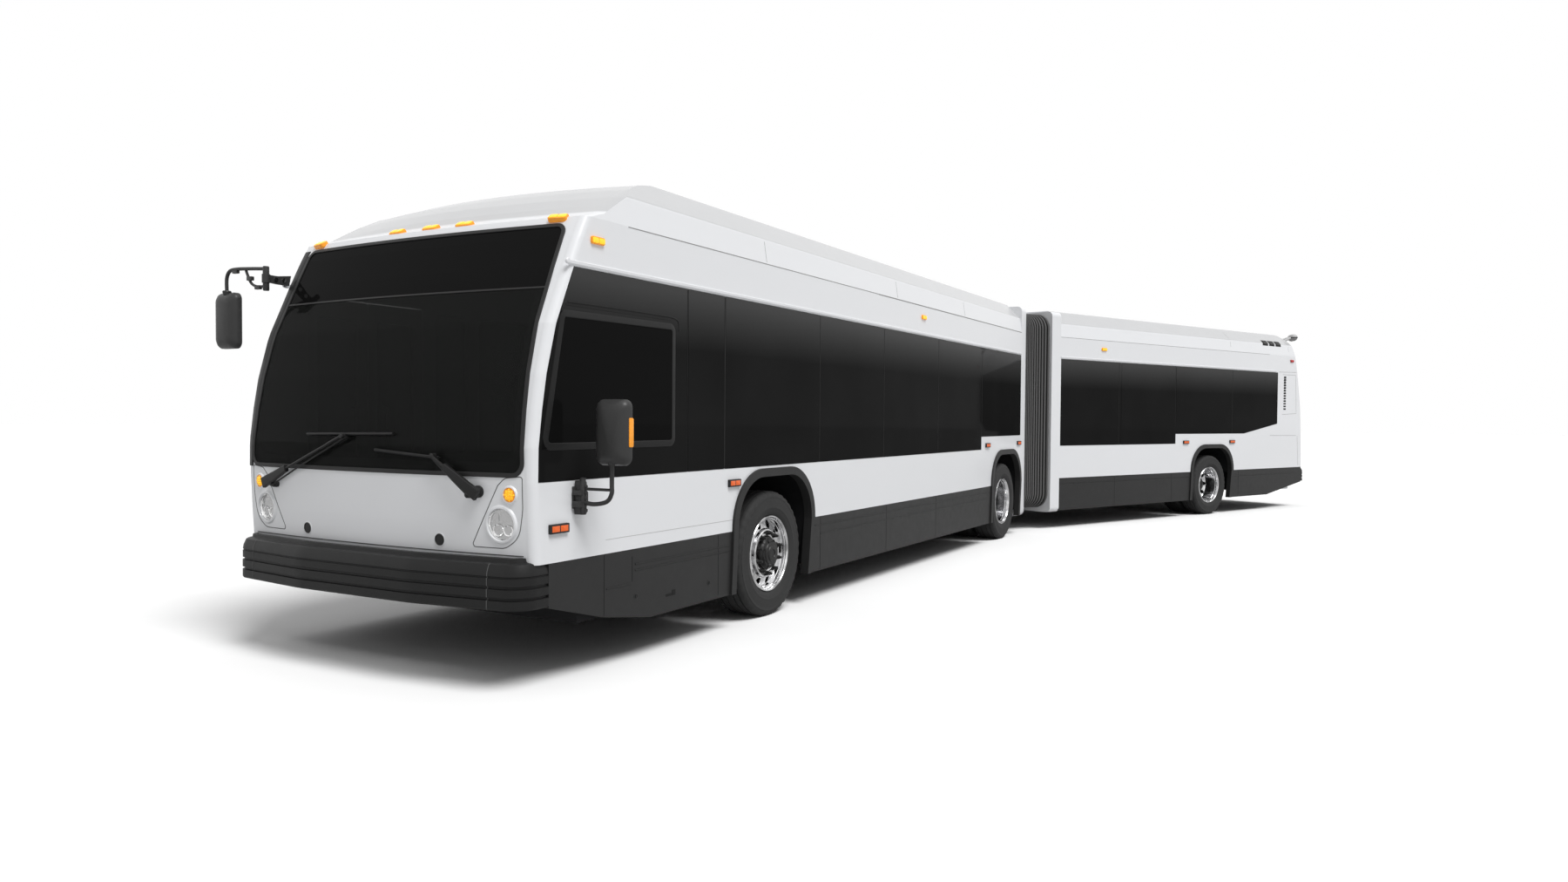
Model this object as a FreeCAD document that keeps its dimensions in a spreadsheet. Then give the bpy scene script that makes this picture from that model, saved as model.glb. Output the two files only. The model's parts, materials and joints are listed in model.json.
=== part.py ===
import FreeCAD, Part
import math
import os
import Sketcher

# Articulated low-floor city bus, 18.9 m long when straight. Millimetres and degrees.
# Front section: +X forward, +Y left, +Z up, zero on the ground under the front axle.
# Rear section: drawn in its own frame, zero on the ground under the pivot, and placed by the bend.

os.makedirs("parts", exist_ok=True)
doc = FreeCAD.newDocument("articulated_bus")
V = FreeCAD.Vector

SIZES = (
    # alias, value
    ("width", 2590),
    ("front_base", 6200),  # front axle to middle axle
    ("pivot_base", 1288),  # middle axle to pivot
    ("rear_base", 5046),  # pivot to rear axle
    ("bend", 23.87),  # angle between the sections as parked
    ("cap_back", 1230),  # joint of the front cap and the side walls
    ("nose", 2815),  # front axle to the face at bumper height
    ("tail", 8215),  # pivot to the rear face
    ("tail_wall", 7700),  # pivot to the joint of side walls and tail cap
    ("skirt_z", 267),
    ("belt_z", 737),
    ("sill_z", 1206),
    ("high_sill_z", 1367),
    ("head_z", 2473),
    ("eaves_z", 2790),
    ("roof_z", 3205),
    ("wall", 55),
    ("skirt", 40),
    ("glass", 8),
    ("fit", 0.3),  # clearance of pieces that seat on each other
    ("seam", 3),  # half the gap between two panes
    ("rebate", 60),  # width of the bonding flange round a pane
    ("window_round", 70),
    ("pane_round", 12),
    ("sign_z", 2343),  # joint of the windshield and the pane of the sign
    ("floor_z", 400),
    ("slab", 60),
    ("rail", 60),
    ("deck_z", 760),  # raised rear floor
    ("bench_z", 1300),  # top of the engine compartment
    ("tyre_r", 500),
    ("tyre_w", 300),
    ("rim_r", 286),
    ("wheel_face", 1268),
    ("twin_gap", 50),
    ("arch_half", 610),
    ("arch_z", 1135),
    ("arch_r", 380),
    ("house_y", 560),  # inner side of a wheel housing
    ("house_wall", 20),
    ("lip_wide", 55),  # rubber lip round a wheel arch
    ("lip_proud", 20),
    ("lip_wall", 10),
    ("kingpin_y", 935),
    ("steer_arm", 250),
    ("tie_rod_z", 255),
    ("ring_front", 438),  # pivot to the face of the front ring
    ("ring_rear", 780),  # pivot to the face of the rear ring
    ("ring_depth", 200),
    ("ring_frame", 110),
    ("ring_top", 3145),
    ("ring_bottom", 245),
    ("bellows_inset", 25),
    ("fold", 45),
    ("door_bottom", 345),
    ("door_top", 2440),
    ("door_leaf", 45),
    ("leaf_stile", 35),  # frame of a leaf beside, below and above its pane
    ("leaf_sill", 120),
    ("leaf_head", 90),
    ("leaf_rebate", 45),
    ("leaf_round", 30),
    ("hinge_pin", 6),
    ("pin_inside", 10),  # length of a pin in its leaf and in the jamb
    ("pin_outside", 16),
    ("door_gap", 10),
    ("hinge_in", 12),  # pivot line of a leaf, in from its outer face and its edge
    ("turntable_r", 830),
)
ORIGIN = (("origin_x", 0), ("origin_y", 0))  # found from the finished bus: middle of its box


def new_sheet(name, rows):
    sheet = doc.addObject("Spreadsheet::Sheet", name)
    for row, (alias, value) in enumerate(rows, 1):
        sheet.set(f"A{row}", alias)
        sheet.set(f"B{row}", str(value))
        sheet.setAlias(f"B{row}", alias)
    return sheet


new_sheet("Sizes", SIZES)
origin_sheet = new_sheet("Origin", ORIGIN)
doc.recompute()


class Size:
    """A number together with the spreadsheet expression that gives it."""

    def __init__(self, value, text):
        self.value, self.text = value, text

    def joined(self, other, sign, swap=False):
        a, b = (size(other), self) if swap else (self, size(other))
        value = {"+": a.value + b.value, "-": a.value - b.value, "*": a.value * b.value}.get(sign)
        if sign == "/":
            value = a.value / b.value
        return Size(value, f"({a.text} {sign} {b.text})")

    def __add__(self, other):
        return self.joined(other, "+")

    def __radd__(self, other):
        return self.joined(other, "+", True)

    def __sub__(self, other):
        return self.joined(other, "-")

    def __rsub__(self, other):
        return self.joined(other, "-", True)

    def __mul__(self, other):
        return self.joined(other, "*")

    def __rmul__(self, other):
        return self.joined(other, "*", True)

    def __truediv__(self, other):
        return self.joined(other, "/")

    def __neg__(self):
        return Size(-self.value, f"(-1 * {self.text})")

    def __float__(self):
        return float(self.value)

    def __lt__(self, other):
        return self.value < float(other)


def size(number):
    if isinstance(number, Size):
        return number
    return Size(float(number), f"({number!r})" if number < 0 else repr(number))


S = {alias: Size(float(value), f"Sizes.{alias}") for alias, value in SIZES}
S.update({alias: Size(float(value), f"Origin.{alias}") for alias, value in ORIGIN})
half = S["width"] / 2
inner = half - S["wall"]
mid_axle = -S["front_base"]
pivot = -(S["front_base"] + S["pivot_base"])
front_end = pivot + S["ring_front"] + S["ring_depth"]  # where the front walls end at the ring
rear_end = -(S["ring_rear"] + S["ring_depth"])  # where the rear walls begin behind the ring
slab_z = S["floor_z"] - S["slab"]
recess = S["glass"] + S["fit"]


# ---------------------------------------------------------------- makers
def bind(obj, path, number):
    obj.setExpression(path, size(number).text)


def low_high(a, b):
    return (a, b) if float(a) < float(b) else (b, a)


def box(xs, ys, zs, name="block"):
    obj = doc.addObject("Part::Box", name)
    for side, axis, (a, b) in zip(("Length", "Width", "Height"), "xyz", (xs, ys, zs)):
        low, high = low_high(a, b)
        bind(obj, f"Placement.Base.{axis}", low)
        bind(obj, side, size(high) - low)
    return obj


TURN = {
    "x": FreeCAD.Rotation(V(0, 1, 0), 90),
    "y": FreeCAD.Rotation(V(1, 0, 0), -90),
    "z": FreeCAD.Rotation(),
}
OVER = 1  # how far a cutting piece passes the face it cuts


def rod(axis, centre, radius, start, end, name="rod"):
    """A cylinder along one axis; centre holds the two other coordinates in their order."""
    obj = doc.addObject("Part::Cylinder", name)
    low, high = low_high(start, end)
    bind(obj, "Radius", radius)
    bind(obj, "Height", size(high) - low)
    obj.Placement.Rotation = TURN[axis]
    across = [letter for letter in "xyz" if letter != axis]
    for letter, number in zip(across, centre):
        bind(obj, f"Placement.Base.{letter}", number)
    bind(obj, f"Placement.Base.{axis}", low)
    return obj


def corner(before, at, after, radius):
    """Arc that rounds a corner: its two tangent points, middle and centre."""
    u, v = (before - at).normalize(), (after - at).normalize()
    half_angle = u.getAngle(v) / 2
    middle = (u + v).normalize()
    reach = radius / math.tan(half_angle)
    centre = at + middle * (radius / math.sin(half_angle))
    return at + u * reach, centre - middle * radius, at + v * reach


def draw_loop(sketch, loop):
    """Closed loop of straight sides; a point's third value rounds its corner."""
    points = [V(float(p[0]), float(p[1]), 0) for p in loop]
    count = len(points)
    ends = []
    for i, at in enumerate(points):
        radius = float(loop[i][2]) if len(loop[i]) > 2 else 0
        if radius:
            ends.append(corner(points[i - 1], at, points[(i + 1) % count], radius))
        else:
            ends.append((at, None, at))
    lines = []
    for i in range(count):
        straight = Part.LineSegment(ends[i][2], ends[(i + 1) % count][0])
        lines.append(sketch.addGeometry(straight, False))
    rules, bound = [], []
    start = sketch.ConstraintCount
    for i, (first, middle, last) in enumerate(ends):
        came, goes = lines[i - 1], lines[i]
        if middle is None:
            rules.append(Sketcher.Constraint("Coincident", came, 2, goes, 1))
            holder, spot = goes, 1
        else:
            # a sketch's arcs run anticlockwise, so a clockwise corner starts at its far end
            begins = (middle - first).cross(last - middle).z > 0
            curve = Part.Arc(first, middle, last) if begins else Part.Arc(last, middle, first)
            arc = sketch.addGeometry(curve, False)
            rules.append(Sketcher.Constraint("Tangent", came, 2, arc, 1 if begins else 2))
            rules.append(Sketcher.Constraint("Tangent", arc, 2 if begins else 1, goes, 1))
            rules.append(Sketcher.Constraint("Radius", arc, float(loop[i][2])))
            bound.append((start + len(rules) - 1, loop[i][2]))
            holder, spot = sketch.addGeometry(Part.Point(points[i]), True), 1
            rules.append(Sketcher.Constraint("PointOnObject", holder, 1, came))
            rules.append(Sketcher.Constraint("PointOnObject", holder, 1, goes))
        for kind, number in (("DistanceX", loop[i][0]), ("DistanceY", loop[i][1])):
            rules.append(Sketcher.Constraint(kind, -1, 1, holder, spot, float(number)))
            bound.append((start + len(rules) - 1, number))
    sketch.addConstraint(rules)
    for index, number in bound:
        if isinstance(number, Size):
            sketch.setExpression(f"Constraints[{index}]", number.text)


PLANES = {"x": "YZ_Plane", "y": "XZ_Plane", "z": "XY_Plane"}


def new_sketch(body, axis, level, loops):
    sketch = body.newObject("Sketcher::SketchObject", "outline")
    plane = [f for f in body.Origin.OriginFeatures if f.Role == PLANES[axis]][0]
    sketch.AttachmentSupport = [(plane, "")]
    sketch.MapMode = "FlatFace"
    bind(sketch, "AttachmentOffset.Base.z", level)
    for loop in loops:
        draw_loop(sketch, loop)
    return sketch


def pad(axis, loops, start, end, name="panel"):
    """Outline, with its holes, padded along an axis from start to end."""
    low, high = low_high(start, end)
    body = doc.addObject("PartDesign::Body", name)
    # the XZ plane looks along -Y, so its pads start at the high end
    sketch = new_sketch(body, axis, -size(high) if axis == "y" else low, loops)
    feature = body.newObject("PartDesign::Pad", "pad")
    feature.Profile = sketch
    bind(feature, "Length", size(high) - low)
    return body


def spin(loops, name="turned"):
    """Profile of (y, radius) points revolved about the Y axis."""
    body = doc.addObject("PartDesign::Body", name)
    sketch = new_sketch(body, "x", 0, loops)
    feature = body.newObject("PartDesign::Revolution", "turn")
    feature.Profile = sketch
    feature.ReferenceAxis = (sketch, ["H_Axis"])
    feature.Angle = 360
    return body


def cut(base, *tools):
    for tool in tools:
        obj = doc.addObject("Part::Cut", "cut")
        obj.Base, obj.Tool = base, tool
        base = obj
    return base


def fuse(*shapes):
    obj = doc.addObject("Part::MultiFuse", "joined")
    obj.Shapes = list(shapes)
    return obj


def common(*shapes):
    obj = doc.addObject("Part::MultiCommon", "shared")
    obj.Shapes = list(shapes)
    return obj


def group(*shapes):
    obj = doc.addObject("Part::Compound", "group")
    obj.Links = list(shapes)
    return obj


def moved(obj, x=0, y=0, z=0, turn=0):
    """The same piece at another place of its section; turn is about Z."""
    holder = group(obj)
    for letter, number in zip("xyz", (x, y, z)):
        bind(holder, f"Placement.Base.{letter}", number)
    holder.Placement.Rotation = FreeCAD.Rotation(V(0, 0, 1), turn)
    return holder


NODES = []


def node(label, shapes, section="front", share=1):
    """Name a finished sub-part and place it: share is its part of the bend."""
    obj = group(*shapes) if isinstance(shapes, (list, tuple)) else group(shapes)
    obj.Label = label
    if section == "front":
        bind(obj, "Placement.Base.x", S["origin_x"])
        bind(obj, "Placement.Base.y", S["origin_y"])
    else:
        obj.Placement.Rotation = FreeCAD.Rotation(V(0, 0, 1), -1)
        bind(obj, "Placement.Rotation.Angle", -(S["bend"] * share))
        bind(obj, "Placement.Base.x", S["origin_x"] + pivot)
        bind(obj, "Placement.Base.y", S["origin_y"])
    NODES.append(obj)


# ---------------------------------------------------------------- side outlines
def arch_loop(axle_x, bottom, grow=0):
    """Wheel arch: nearly straight sides under large round shoulders; grow moves it outwards."""
    reach = S["arch_half"] + grow
    top, radius = S["arch_z"] + grow, S["arch_r"] + grow
    down = S["belt_z"] - bottom
    return (
        (axle_x - reach + down * 0.128, bottom),
        (axle_x - reach, S["belt_z"]),
        (axle_x - reach + 20, top, radius),
        (axle_x + reach - 50, top, radius),
        (axle_x + reach - 20, S["belt_z"]),
        (axle_x + reach - 20 + down * 0.064, bottom),
    )


def arch_lip(side, axle_x):
    """Rubber lip: a band on the outer face round the arch and a flange turned in along its edge."""
    fit, low, proud = S["fit"], S["skirt_z"], half + S["lip_proud"]
    hole_loop = arch_loop(axle_x, low - OVER, -(fit + S["lip_wall"]))
    hole = pad("y", [hole_loop], side * (inner - OVER), side * (proud + OVER))
    band = pad("y", [arch_loop(axle_x, low, S["lip_wide"])], side * (half + fit), side * proud)
    flange = pad("y", [arch_loop(axle_x, low, -fit)], side * inner, side * proud)
    return cut(fuse(band, flange), hole)


def side_range(side, outer, depth):
    """Y range of a layer on one side of the bus: side is 1 for left, -1 for right."""
    return (side * outer, side * (outer - depth))


def cut_range(side, depth):
    """Y range of a recess cut into the outer face."""
    return side_range(side, half + OVER, depth + OVER)


def through_range(side, depth):
    """Y range of a hole through a layer of the side."""
    return side_range(side, half + OVER, depth + 2 * OVER)


def rectangle(a0, a1, b0, b1, radius=0):
    (a0, a1), (b0, b1) = low_high(a0, a1), low_high(b0, b1)
    tail = (radius,) if float(radius) else ()
    return tuple(point + tail for point in ((a0, b0), (a1, b0), (a1, b1), (a0, b1)))


def side_wall(side, x_rear, x_front, arches, panes, doors):
    """Side wall with its lower edge let in behind the skirt, panes rebated and windows cut."""
    wall = pad("y", [rectangle(x_rear, x_front, slab_z, S["eaves_z"])], *side_range(side, half, S["wall"]))
    through, rebate = through_range(side, S["wall"]), cut_range(side, recess)
    tools = [box((x_rear, x_front), cut_range(side, S["skirt"]), (slab_z, S["belt_z"]))]
    for axle_x in arches:
        tools.append(pad("y", [arch_loop(axle_x, slab_z - OVER)], *through))
    for pane in panes:
        tools.append(pad("y", [pane_loop(pane, 0)], *rebate))
        tools.append(pad("y", [pane_loop(pane, S["rebate"], S["window_round"])], *through))
    for x0, x1 in doors:
        tools.append(box((x0, x1), through, (slab_z - OVER, S["door_top"])))
        tools += pin_bores((x0, x1))
    return cut(wall, fuse(*tools))


def pane_loop(pane, trim, radius=0):
    """Outline of a pane, trimmed all round; a fourth value is where its sill turns up to its rear edge."""
    x_front, x_rear, sill = pane[0] - trim, pane[1] + trim, pane[2] + trim
    head = S["head_z"] - trim
    if len(pane) == 3:
        return rectangle(x_front, x_rear, sill, head, radius)
    turn, rear_sill = pane[3]
    corners = ((x_front, head), (x_rear, head), (x_rear, rear_sill + trim), (turn, sill), (x_front, sill))
    return tuple(point + ((radius,) if float(radius) else ()) for point in corners)


def side_panes(side, panes):
    ys = side_range(side, half, S["glass"])
    return [pad("y", [pane_loop(pane, S["seam"], S["pane_round"])], *ys) for pane in panes]


def skirt(side, outline, arches, doors):
    ys = side_range(side, half, S["skirt"])
    panel = pad("y", [outline], *ys)
    through = through_range(side, S["skirt"])
    tools = [pad("y", [arch_loop(axle_x, S["skirt_z"] - OVER)], *through) for axle_x in arches]
    for door in doors:
        tools.append(box(door, through, (S["door_bottom"] - S["door_gap"] / 2, S["belt_z"] + OVER)))
        tools += pin_bores(door)
    return cut(panel, fuse(*tools)) if len(tools) > 1 else cut(panel, *tools)


def door_leaf(x_hinge, x_edge):
    """One leaf on the right side: a frame with a tall pane bonded in its outer face."""
    x0, x1 = low_high(x_hinge, x_edge)
    ys = side_range(-1, half, S["door_leaf"])
    zs = (S["door_bottom"], S["door_top"] - S["door_gap"])
    leaf = pad("y", [rectangle(x0, x1, *zs, 15)], *ys)

    def leaf_loop(trim, radius):
        stile, sill, head = S["leaf_stile"] + trim, S["leaf_sill"] + trim, S["leaf_head"] + trim
        return rectangle(x0 + stile, x1 - stile, zs[0] + sill, zs[1] - head, radius)

    radius = S["leaf_round"]
    rebate = pad("y", [leaf_loop(0, radius)], *cut_range(-1, recess))
    window = pad("y", [leaf_loop(S["leaf_rebate"], radius)], *through_range(-1, S["door_leaf"]))
    inward = -1 if float(x_hinge) > float(x_edge) else 1
    pin_at = (x_hinge + inward * S["hinge_in"], -half + S["hinge_in"])
    pins = [rod("z", pin_at, S["hinge_pin"], *pair) for pair in pin_spans(zs)]
    frame = cut(leaf, fuse(rebate, window))
    pane = pad("y", [leaf_loop(S["fit"], radius - S["fit"])], *side_range(-1, half, S["glass"]))
    return [fuse(frame, *pins), pane]


def pin_spans(zs):
    """Heights of a leaf's lower and upper pivot pins, from inside the leaf into its jamb."""
    inside, outside = S["pin_inside"], S["pin_outside"]
    return ((zs[0] - outside, zs[0] + inside), (zs[1] - inside, zs[1] + S["door_gap"] + outside))


def pin_bores(opening):
    """Bores for the pins of both leaves of a doorway, in the sill and the header."""
    x0, x1 = low_high(*opening)
    zs = (S["door_bottom"], S["door_top"] - S["door_gap"])
    y, reach = -half + S["hinge_in"], S["door_gap"] + S["hinge_in"]
    bores = []
    for x in (x0 + reach, x1 - reach):
        for low, high in pin_spans(zs):
            bores.append(rod("z", (x, y), S["hinge_pin"] + S["fit"], low - 2 * OVER, high + 2 * OVER))
    return bores


# ---------------------------------------------------------------- caps
BOW = 0.000048  # of a cap's face: how far it falls back, for each square millimetre off the centre line
ROUND = 0.27  # how far the middle of a corner's arc lies in from its sides, as a share of its reach


def cap_wire(z, x_face, drop, turn, back, offset, ahead):
    """Plan outline of a cap at one height: straight sides, round corners, a bowed face."""
    side = float(half) - offset
    edge = side - turn
    face = x_face - offset
    bow = BOW + drop / float(half) ** 2
    shoulder = face - bow * edge * edge
    sweep = face - bow * edge * edge / 4
    corner_x, corner_y = shoulder - turn * ROUND, side - turn * ROUND
    points = [
        (back, -side),
        (shoulder - turn, -side),
        (corner_x, -corner_y),
        (shoulder, -edge),
        (sweep, -edge / 2),
        (face, 0),
    ]
    points += [(x, -y) for x, y in reversed(points[:-1])]
    p = [V(ahead * x, y, z) for x, y in points]
    edges = [
        Part.makeLine(p[0], p[1]),
        Part.Arc(p[1], p[2], p[3]).toShape(),
        Part.Arc(p[3], p[5], p[7]).toShape(),
        Part.Arc(p[7], p[8], p[9]).toShape(),
        Part.makeLine(p[9], p[10]),
        Part.makeLine(p[10], p[0]),
    ]
    return Part.Wire(edges)


def cap(sections, back, offset=0, ahead=1, grow=0, name="cap"):
    """Solid cap lofted through its plan outlines; ahead is 1 for the nose and -1 for the tail."""
    obj = doc.addObject("Part::Feature", name)
    levels = [list(row) for row in sections]
    levels[0][0] -= grow
    levels[-1][0] += grow
    obj.Shape = Part.makeLoft([cap_wire(*row, back, offset, ahead) for row in levels], True, True)
    return obj


nose_x = float(S["nose"])
CORNER = 60
NOSE = (
    # z, x of the face on the centre line, extra drop of the face at the sides, reach of the corners
    (float(S["belt_z"]), nose_x, 0, CORNER),
    (800, nose_x + 3, 0, CORNER),
    (960, nose_x + 13, 0, CORNER),
    (float(S["sill_z"]), nose_x + 23, 0, CORNER),
    (1406, nose_x + 20, 0, CORNER),
    (1620, nose_x - 8, 0, CORNER),
    (1830, nose_x - 45, 0, CORNER),
    (2124, nose_x - 125, 0, CORNER),
    (2343, nose_x - 222, 0, CORNER),
    (float(S["head_z"]), nose_x - 278, 0, CORNER),
    (2660, nose_x - 365, 0, CORNER),
    (float(S["eaves_z"]), nose_x - 432, 0, CORNER),
)
DOME = (
    (float(S["eaves_z"]), nose_x - 432, 0, CORNER),
    (2832, nose_x - 555, 20, 80),
    (2900, nose_x - 640, 50, 110),
    (2980, nose_x - 755, 80, 140),
    (3060, nose_x - 905, 100, 170),
    (3130, nose_x - 1085, 130, 200),
    (3175, nose_x - 1280, 170, 230),
    (float(S["roof_z"]) + 1, nose_x - 1520, 220, 260),
)
tail_x = float(S["tail"])
TAIL = (
    (float(S["belt_z"]), tail_x, 0, CORNER),
    (1300, tail_x - 20, 0, CORNER),
    (1900, tail_x - 75, 0, CORNER),
    (float(S["head_z"]), tail_x - 190, 0, CORNER),
    (float(S["eaves_z"]), tail_x - 285, 0, CORNER),
)
TAIL_DOME = (
    (float(S["eaves_z"]), tail_x - 285, 0, CORNER),
    (2950, tail_x - 360, 20, 90),
    (3080, tail_x - 450, 40, 120),
    (3160, tail_x - 560, 60, 150),
    (float(S["roof_z"]) + 1, tail_x - 700, 80, 180),
)


def face_at(sections, z, y=0):
    """X of a cap's face at a height and an offset from the centre line."""
    for low, high in zip(sections, sections[1:]):
        if low[0] <= z <= high[0]:
            return low[1] + (high[1] - low[1]) * (z - low[0]) / (high[0] - low[0]) - BOW * y * y
    return sections[0][1]


def roof_loop(offset):
    """Cross-section of the roof: upright sides, a sloping shoulder and a slightly crowned top."""
    side, top = half - offset, S["roof_z"] - offset
    low = S["eaves_z"] + offset
    shoulder_z, slope_y = 2985 - offset / 2, side - 225
    return (
        (-side, low),
        (side, low),
        (side - 30, shoulder_z, 40),
        (slope_y, top - 22, 80),
        (size(0.5), top, 9000),
        (-slope_y, top - 22, 80),
        (-side + 30, shoulder_z, 40),
    )


# ---------------------------------------------------------------- front section shell
FACE_RANGE = (S["nose"] - 815, S["nose"] + 185)  # X range of holes through the face


def front_cap():
    shell_wall = float(S["wall"])
    back = float(S["cap_back"])
    outer = cap(NOSE, back)
    core = cap(NOSE, back - 50, shell_wall, grow=20)
    opening = pad("x", [glass_loop(S["rebate"] + 12)], *FACE_RANGE)
    seat = pad("x", [glass_loop(0)], *FACE_RANGE)
    tools = [core, opening, cut(seat, cap(NOSE, back, float(recess)))]
    for side in (1, -1):
        tools.append(pad("y", [driver_band(0)], *cut_range(side, recess)))
    tools.append(pad("y", [driver_window()], *through_range(1, S["wall"])))
    tools.append(box(FRONT_DOOR, through_range(-1, S["wall"]), (slab_z, S["door_top"])))
    tools += pin_bores(FRONT_DOOR)
    for y, z, radius in HEADLAMPS:
        for sign in (1, -1):
            tools.append(rod("x", (sign * y, z), radius + S["fit"], *FACE_RANGE))
    return cut(outer, fuse(*tools))


def glass_loop(trim):
    """Black glass of the face, from under the wipers to above the sign."""
    z_low, z_high = S["sill_z"] + 41 + trim, S["eaves_z"] - 53 - trim
    low, high = 1222 - trim, 1172 - trim
    return ((-low, z_low, 70), (low, z_low, 70), (high, z_high, 60), (-high, z_high, 60))


def driver_band(trim):
    """Flush glass band beside the driver, its front edge along the front post."""
    post = 45 + trim  # from the face at the corner back to the band
    low, high = float(S["sill_z"]), float(S["head_z"])
    edge = [(face_at(NOSE, z, 1250) - post, z) for z in (1406, 1620, 1830, 2124)]
    return (
        (S["cap_back"] + trim, S["sill_z"] + trim),
        (face_at(NOSE, low, 1250) - post, S["sill_z"] + trim),
        *edge,
        (face_at(NOSE, high, 1250) - post, S["head_z"] - trim),
        (S["cap_back"] + trim, S["head_z"] - trim),
    )


def driver_window():
    low, high, radius = S["sill_z"] + 188, S["head_z"] - 241, 50
    rear = S["cap_back"] + 155
    return (
        (rear, low, radius),
        (S["nose"] - 165, low, radius),
        (S["nose"] - 355, high, radius),
        (rear, high, radius),
    )


FRONT_DOOR = (S["cap_back"] + 60, S["nose"] - 475)
HEADLAMPS = ((1064, 961, 92), (1134, 1120, 38))
MID_DOOR = (-3520, -2260)
REAR_DOOR = (-3560, -2300)

LEFT_PANES = (
    # front edge, rear edge, sill
    (S["cap_back"], 750, S["sill_z"]),
    (750, -769, S["sill_z"]),
    (-769, -2146, S["sill_z"]),
    (-2146, -3644, S["sill_z"]),
    (-3644, -5160, S["sill_z"]),
    (-5160, front_end + 10, S["high_sill_z"]),
)
RIGHT_PANES = (
    (S["cap_back"], 750, S["sill_z"]),
    (750, -769, S["sill_z"]),
    (-769, -2200, S["sill_z"]),
    (-3580, -5160, S["sill_z"]),
    (-5160, front_end + 10, S["high_sill_z"]),
)
TAIL_RISE = (-6060, 1540)  # the last pane's sill turns up here, to this height at its rear edge
REAR_LEFT_PANES = (
    (rear_end - 10, -2465, S["sill_z"]),
    (-2465, -3950, S["sill_z"]),
    (-3950, -7200, S["high_sill_z"], TAIL_RISE),
)
REAR_RIGHT_PANES = (
    (rear_end - 10, -2240, S["sill_z"]),
    (-3620, -7200, S["high_sill_z"], TAIL_RISE),
)

front_skirt_line = (
    (front_end, S["skirt_z"]),
    (S["nose"] - 1155, S["skirt_z"]),
    (S["nose"] - 680, S["skirt_z"] + 77),
    (S["nose"] - 185, S["skirt_z"] + 212),
    (S["nose"] - 185, S["belt_z"]),
    (front_end, S["belt_z"]),
)
rear_skirt_line = (
    (rear_end, S["skirt_z"]),
    (rear_end, S["belt_z"]),
    (-S["tail"] + 120, S["belt_z"]),
    (-S["tail"] + 120, S["skirt_z"] + 195),
    (-6861, S["skirt_z"]),
)

node("front_cap", front_cap())
node("front_left_wall", side_wall(1, front_end, S["cap_back"], (0, mid_axle), LEFT_PANES, ()))
node("front_right_wall", side_wall(-1, front_end, S["cap_back"], (0, mid_axle), RIGHT_PANES, (MID_DOOR,)))
front_panels = [
    skirt(1, front_skirt_line, (0, mid_axle), ()),
    skirt(-1, front_skirt_line, (0, mid_axle), (FRONT_DOOR, MID_DOOR)),
]
node("front_skirts", front_panels)
node("front_arch_lips", [arch_lip(side, axle_x) for side in (1, -1) for axle_x in (0, mid_axle)])

driver_pane = pad("y", [driver_band(S["seam"])], *side_range(1, half, S["glass"]))
node("front_windows", [driver_pane] + side_panes(1, LEFT_PANES) + side_panes(-1, RIGHT_PANES))


def roof(sections, back, far, ahead):
    outside = common(pad("x", [roof_loop(0)], ahead * back, ahead * far), cap(sections, back, ahead=ahead))
    skin = 40
    low = back + skin
    inside = common(
        pad("x", [roof_loop(skin)], ahead * low, ahead * (far - skin)),
        cap(sections, low, skin, ahead, name="roof_core"),
    )
    return cut(outside, inside)


node("front_roof", roof(DOME, float(front_end), nose_x, 1))


def glazing(trim_low, trim_high):
    back = float(S["cap_back"])
    shell = cut(cap(NOSE, back), cap(NOSE, back, float(S["glass"]), grow=5))
    band = box(FACE_RANGE, (-half, half), (trim_low, trim_high))
    return common(pad("x", [glass_loop(S["seam"])], *FACE_RANGE), shell, band)


divider_z = S["sign_z"]  # between the windshield and the pane of the destination sign
node("windshield", glazing(S["sill_z"], divider_z - S["seam"]))
sign_back = S["nose"] - 620
sign_case = box((sign_back, sign_back + 90), (-900, 900), (divider_z + 97, divider_z + 337), "sign_case")
sign_hangers = [
    box((sign_back + 20, sign_back + 60), (y - 30, y + 30), (divider_z + 330, S["eaves_z"] - S["fit"]))
    for y in (-700, 700)
]
sign_pane = glazing(divider_z + S["seam"], S["eaves_z"])
node("destination_sign", [sign_pane, fuse(sign_case, *sign_hangers)])

# ---------------------------------------------------------------- floors, housings and frames
def housing(axle_x, side, house_y, top_slab):
    """Wheel housing inside the body: an open-bottomed box with a flat top and cut corners."""
    wall = S["house_wall"]
    shell = pad("y", [housing_loop(axle_x, top_slab, 0)], side * inner, side * (house_y - wall))
    hollow_loop = housing_loop(axle_x, top_slab - OVER, wall)
    return cut(shell, pad("y", [hollow_loop], side * (inner + OVER), side * house_y))


def housing_loop(axle_x, low, trim):
    length = S["arch_half"] + S["house_wall"] - trim
    top, radius = S["arch_z"] + 45 - trim, 250
    return (
        (axle_x - length, low),
        (axle_x + length, low),
        (axle_x + length, top, radius),
        (axle_x - length, top, radius),
    )


def well(axle_x, side, house_y, z_low, z_high):
    """Hole in a floor slab under a wheel housing."""
    length = S["arch_half"]
    ys = (side * house_y, side * (half + OVER))
    return box((axle_x - length, axle_x + length), ys, (z_low - OVER, z_high + OVER))


TOE_X, TOE_Z, TOE_WALL = 2340, 480, 60  # where the floor steps up ahead of the door, and that plate's underside


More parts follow.
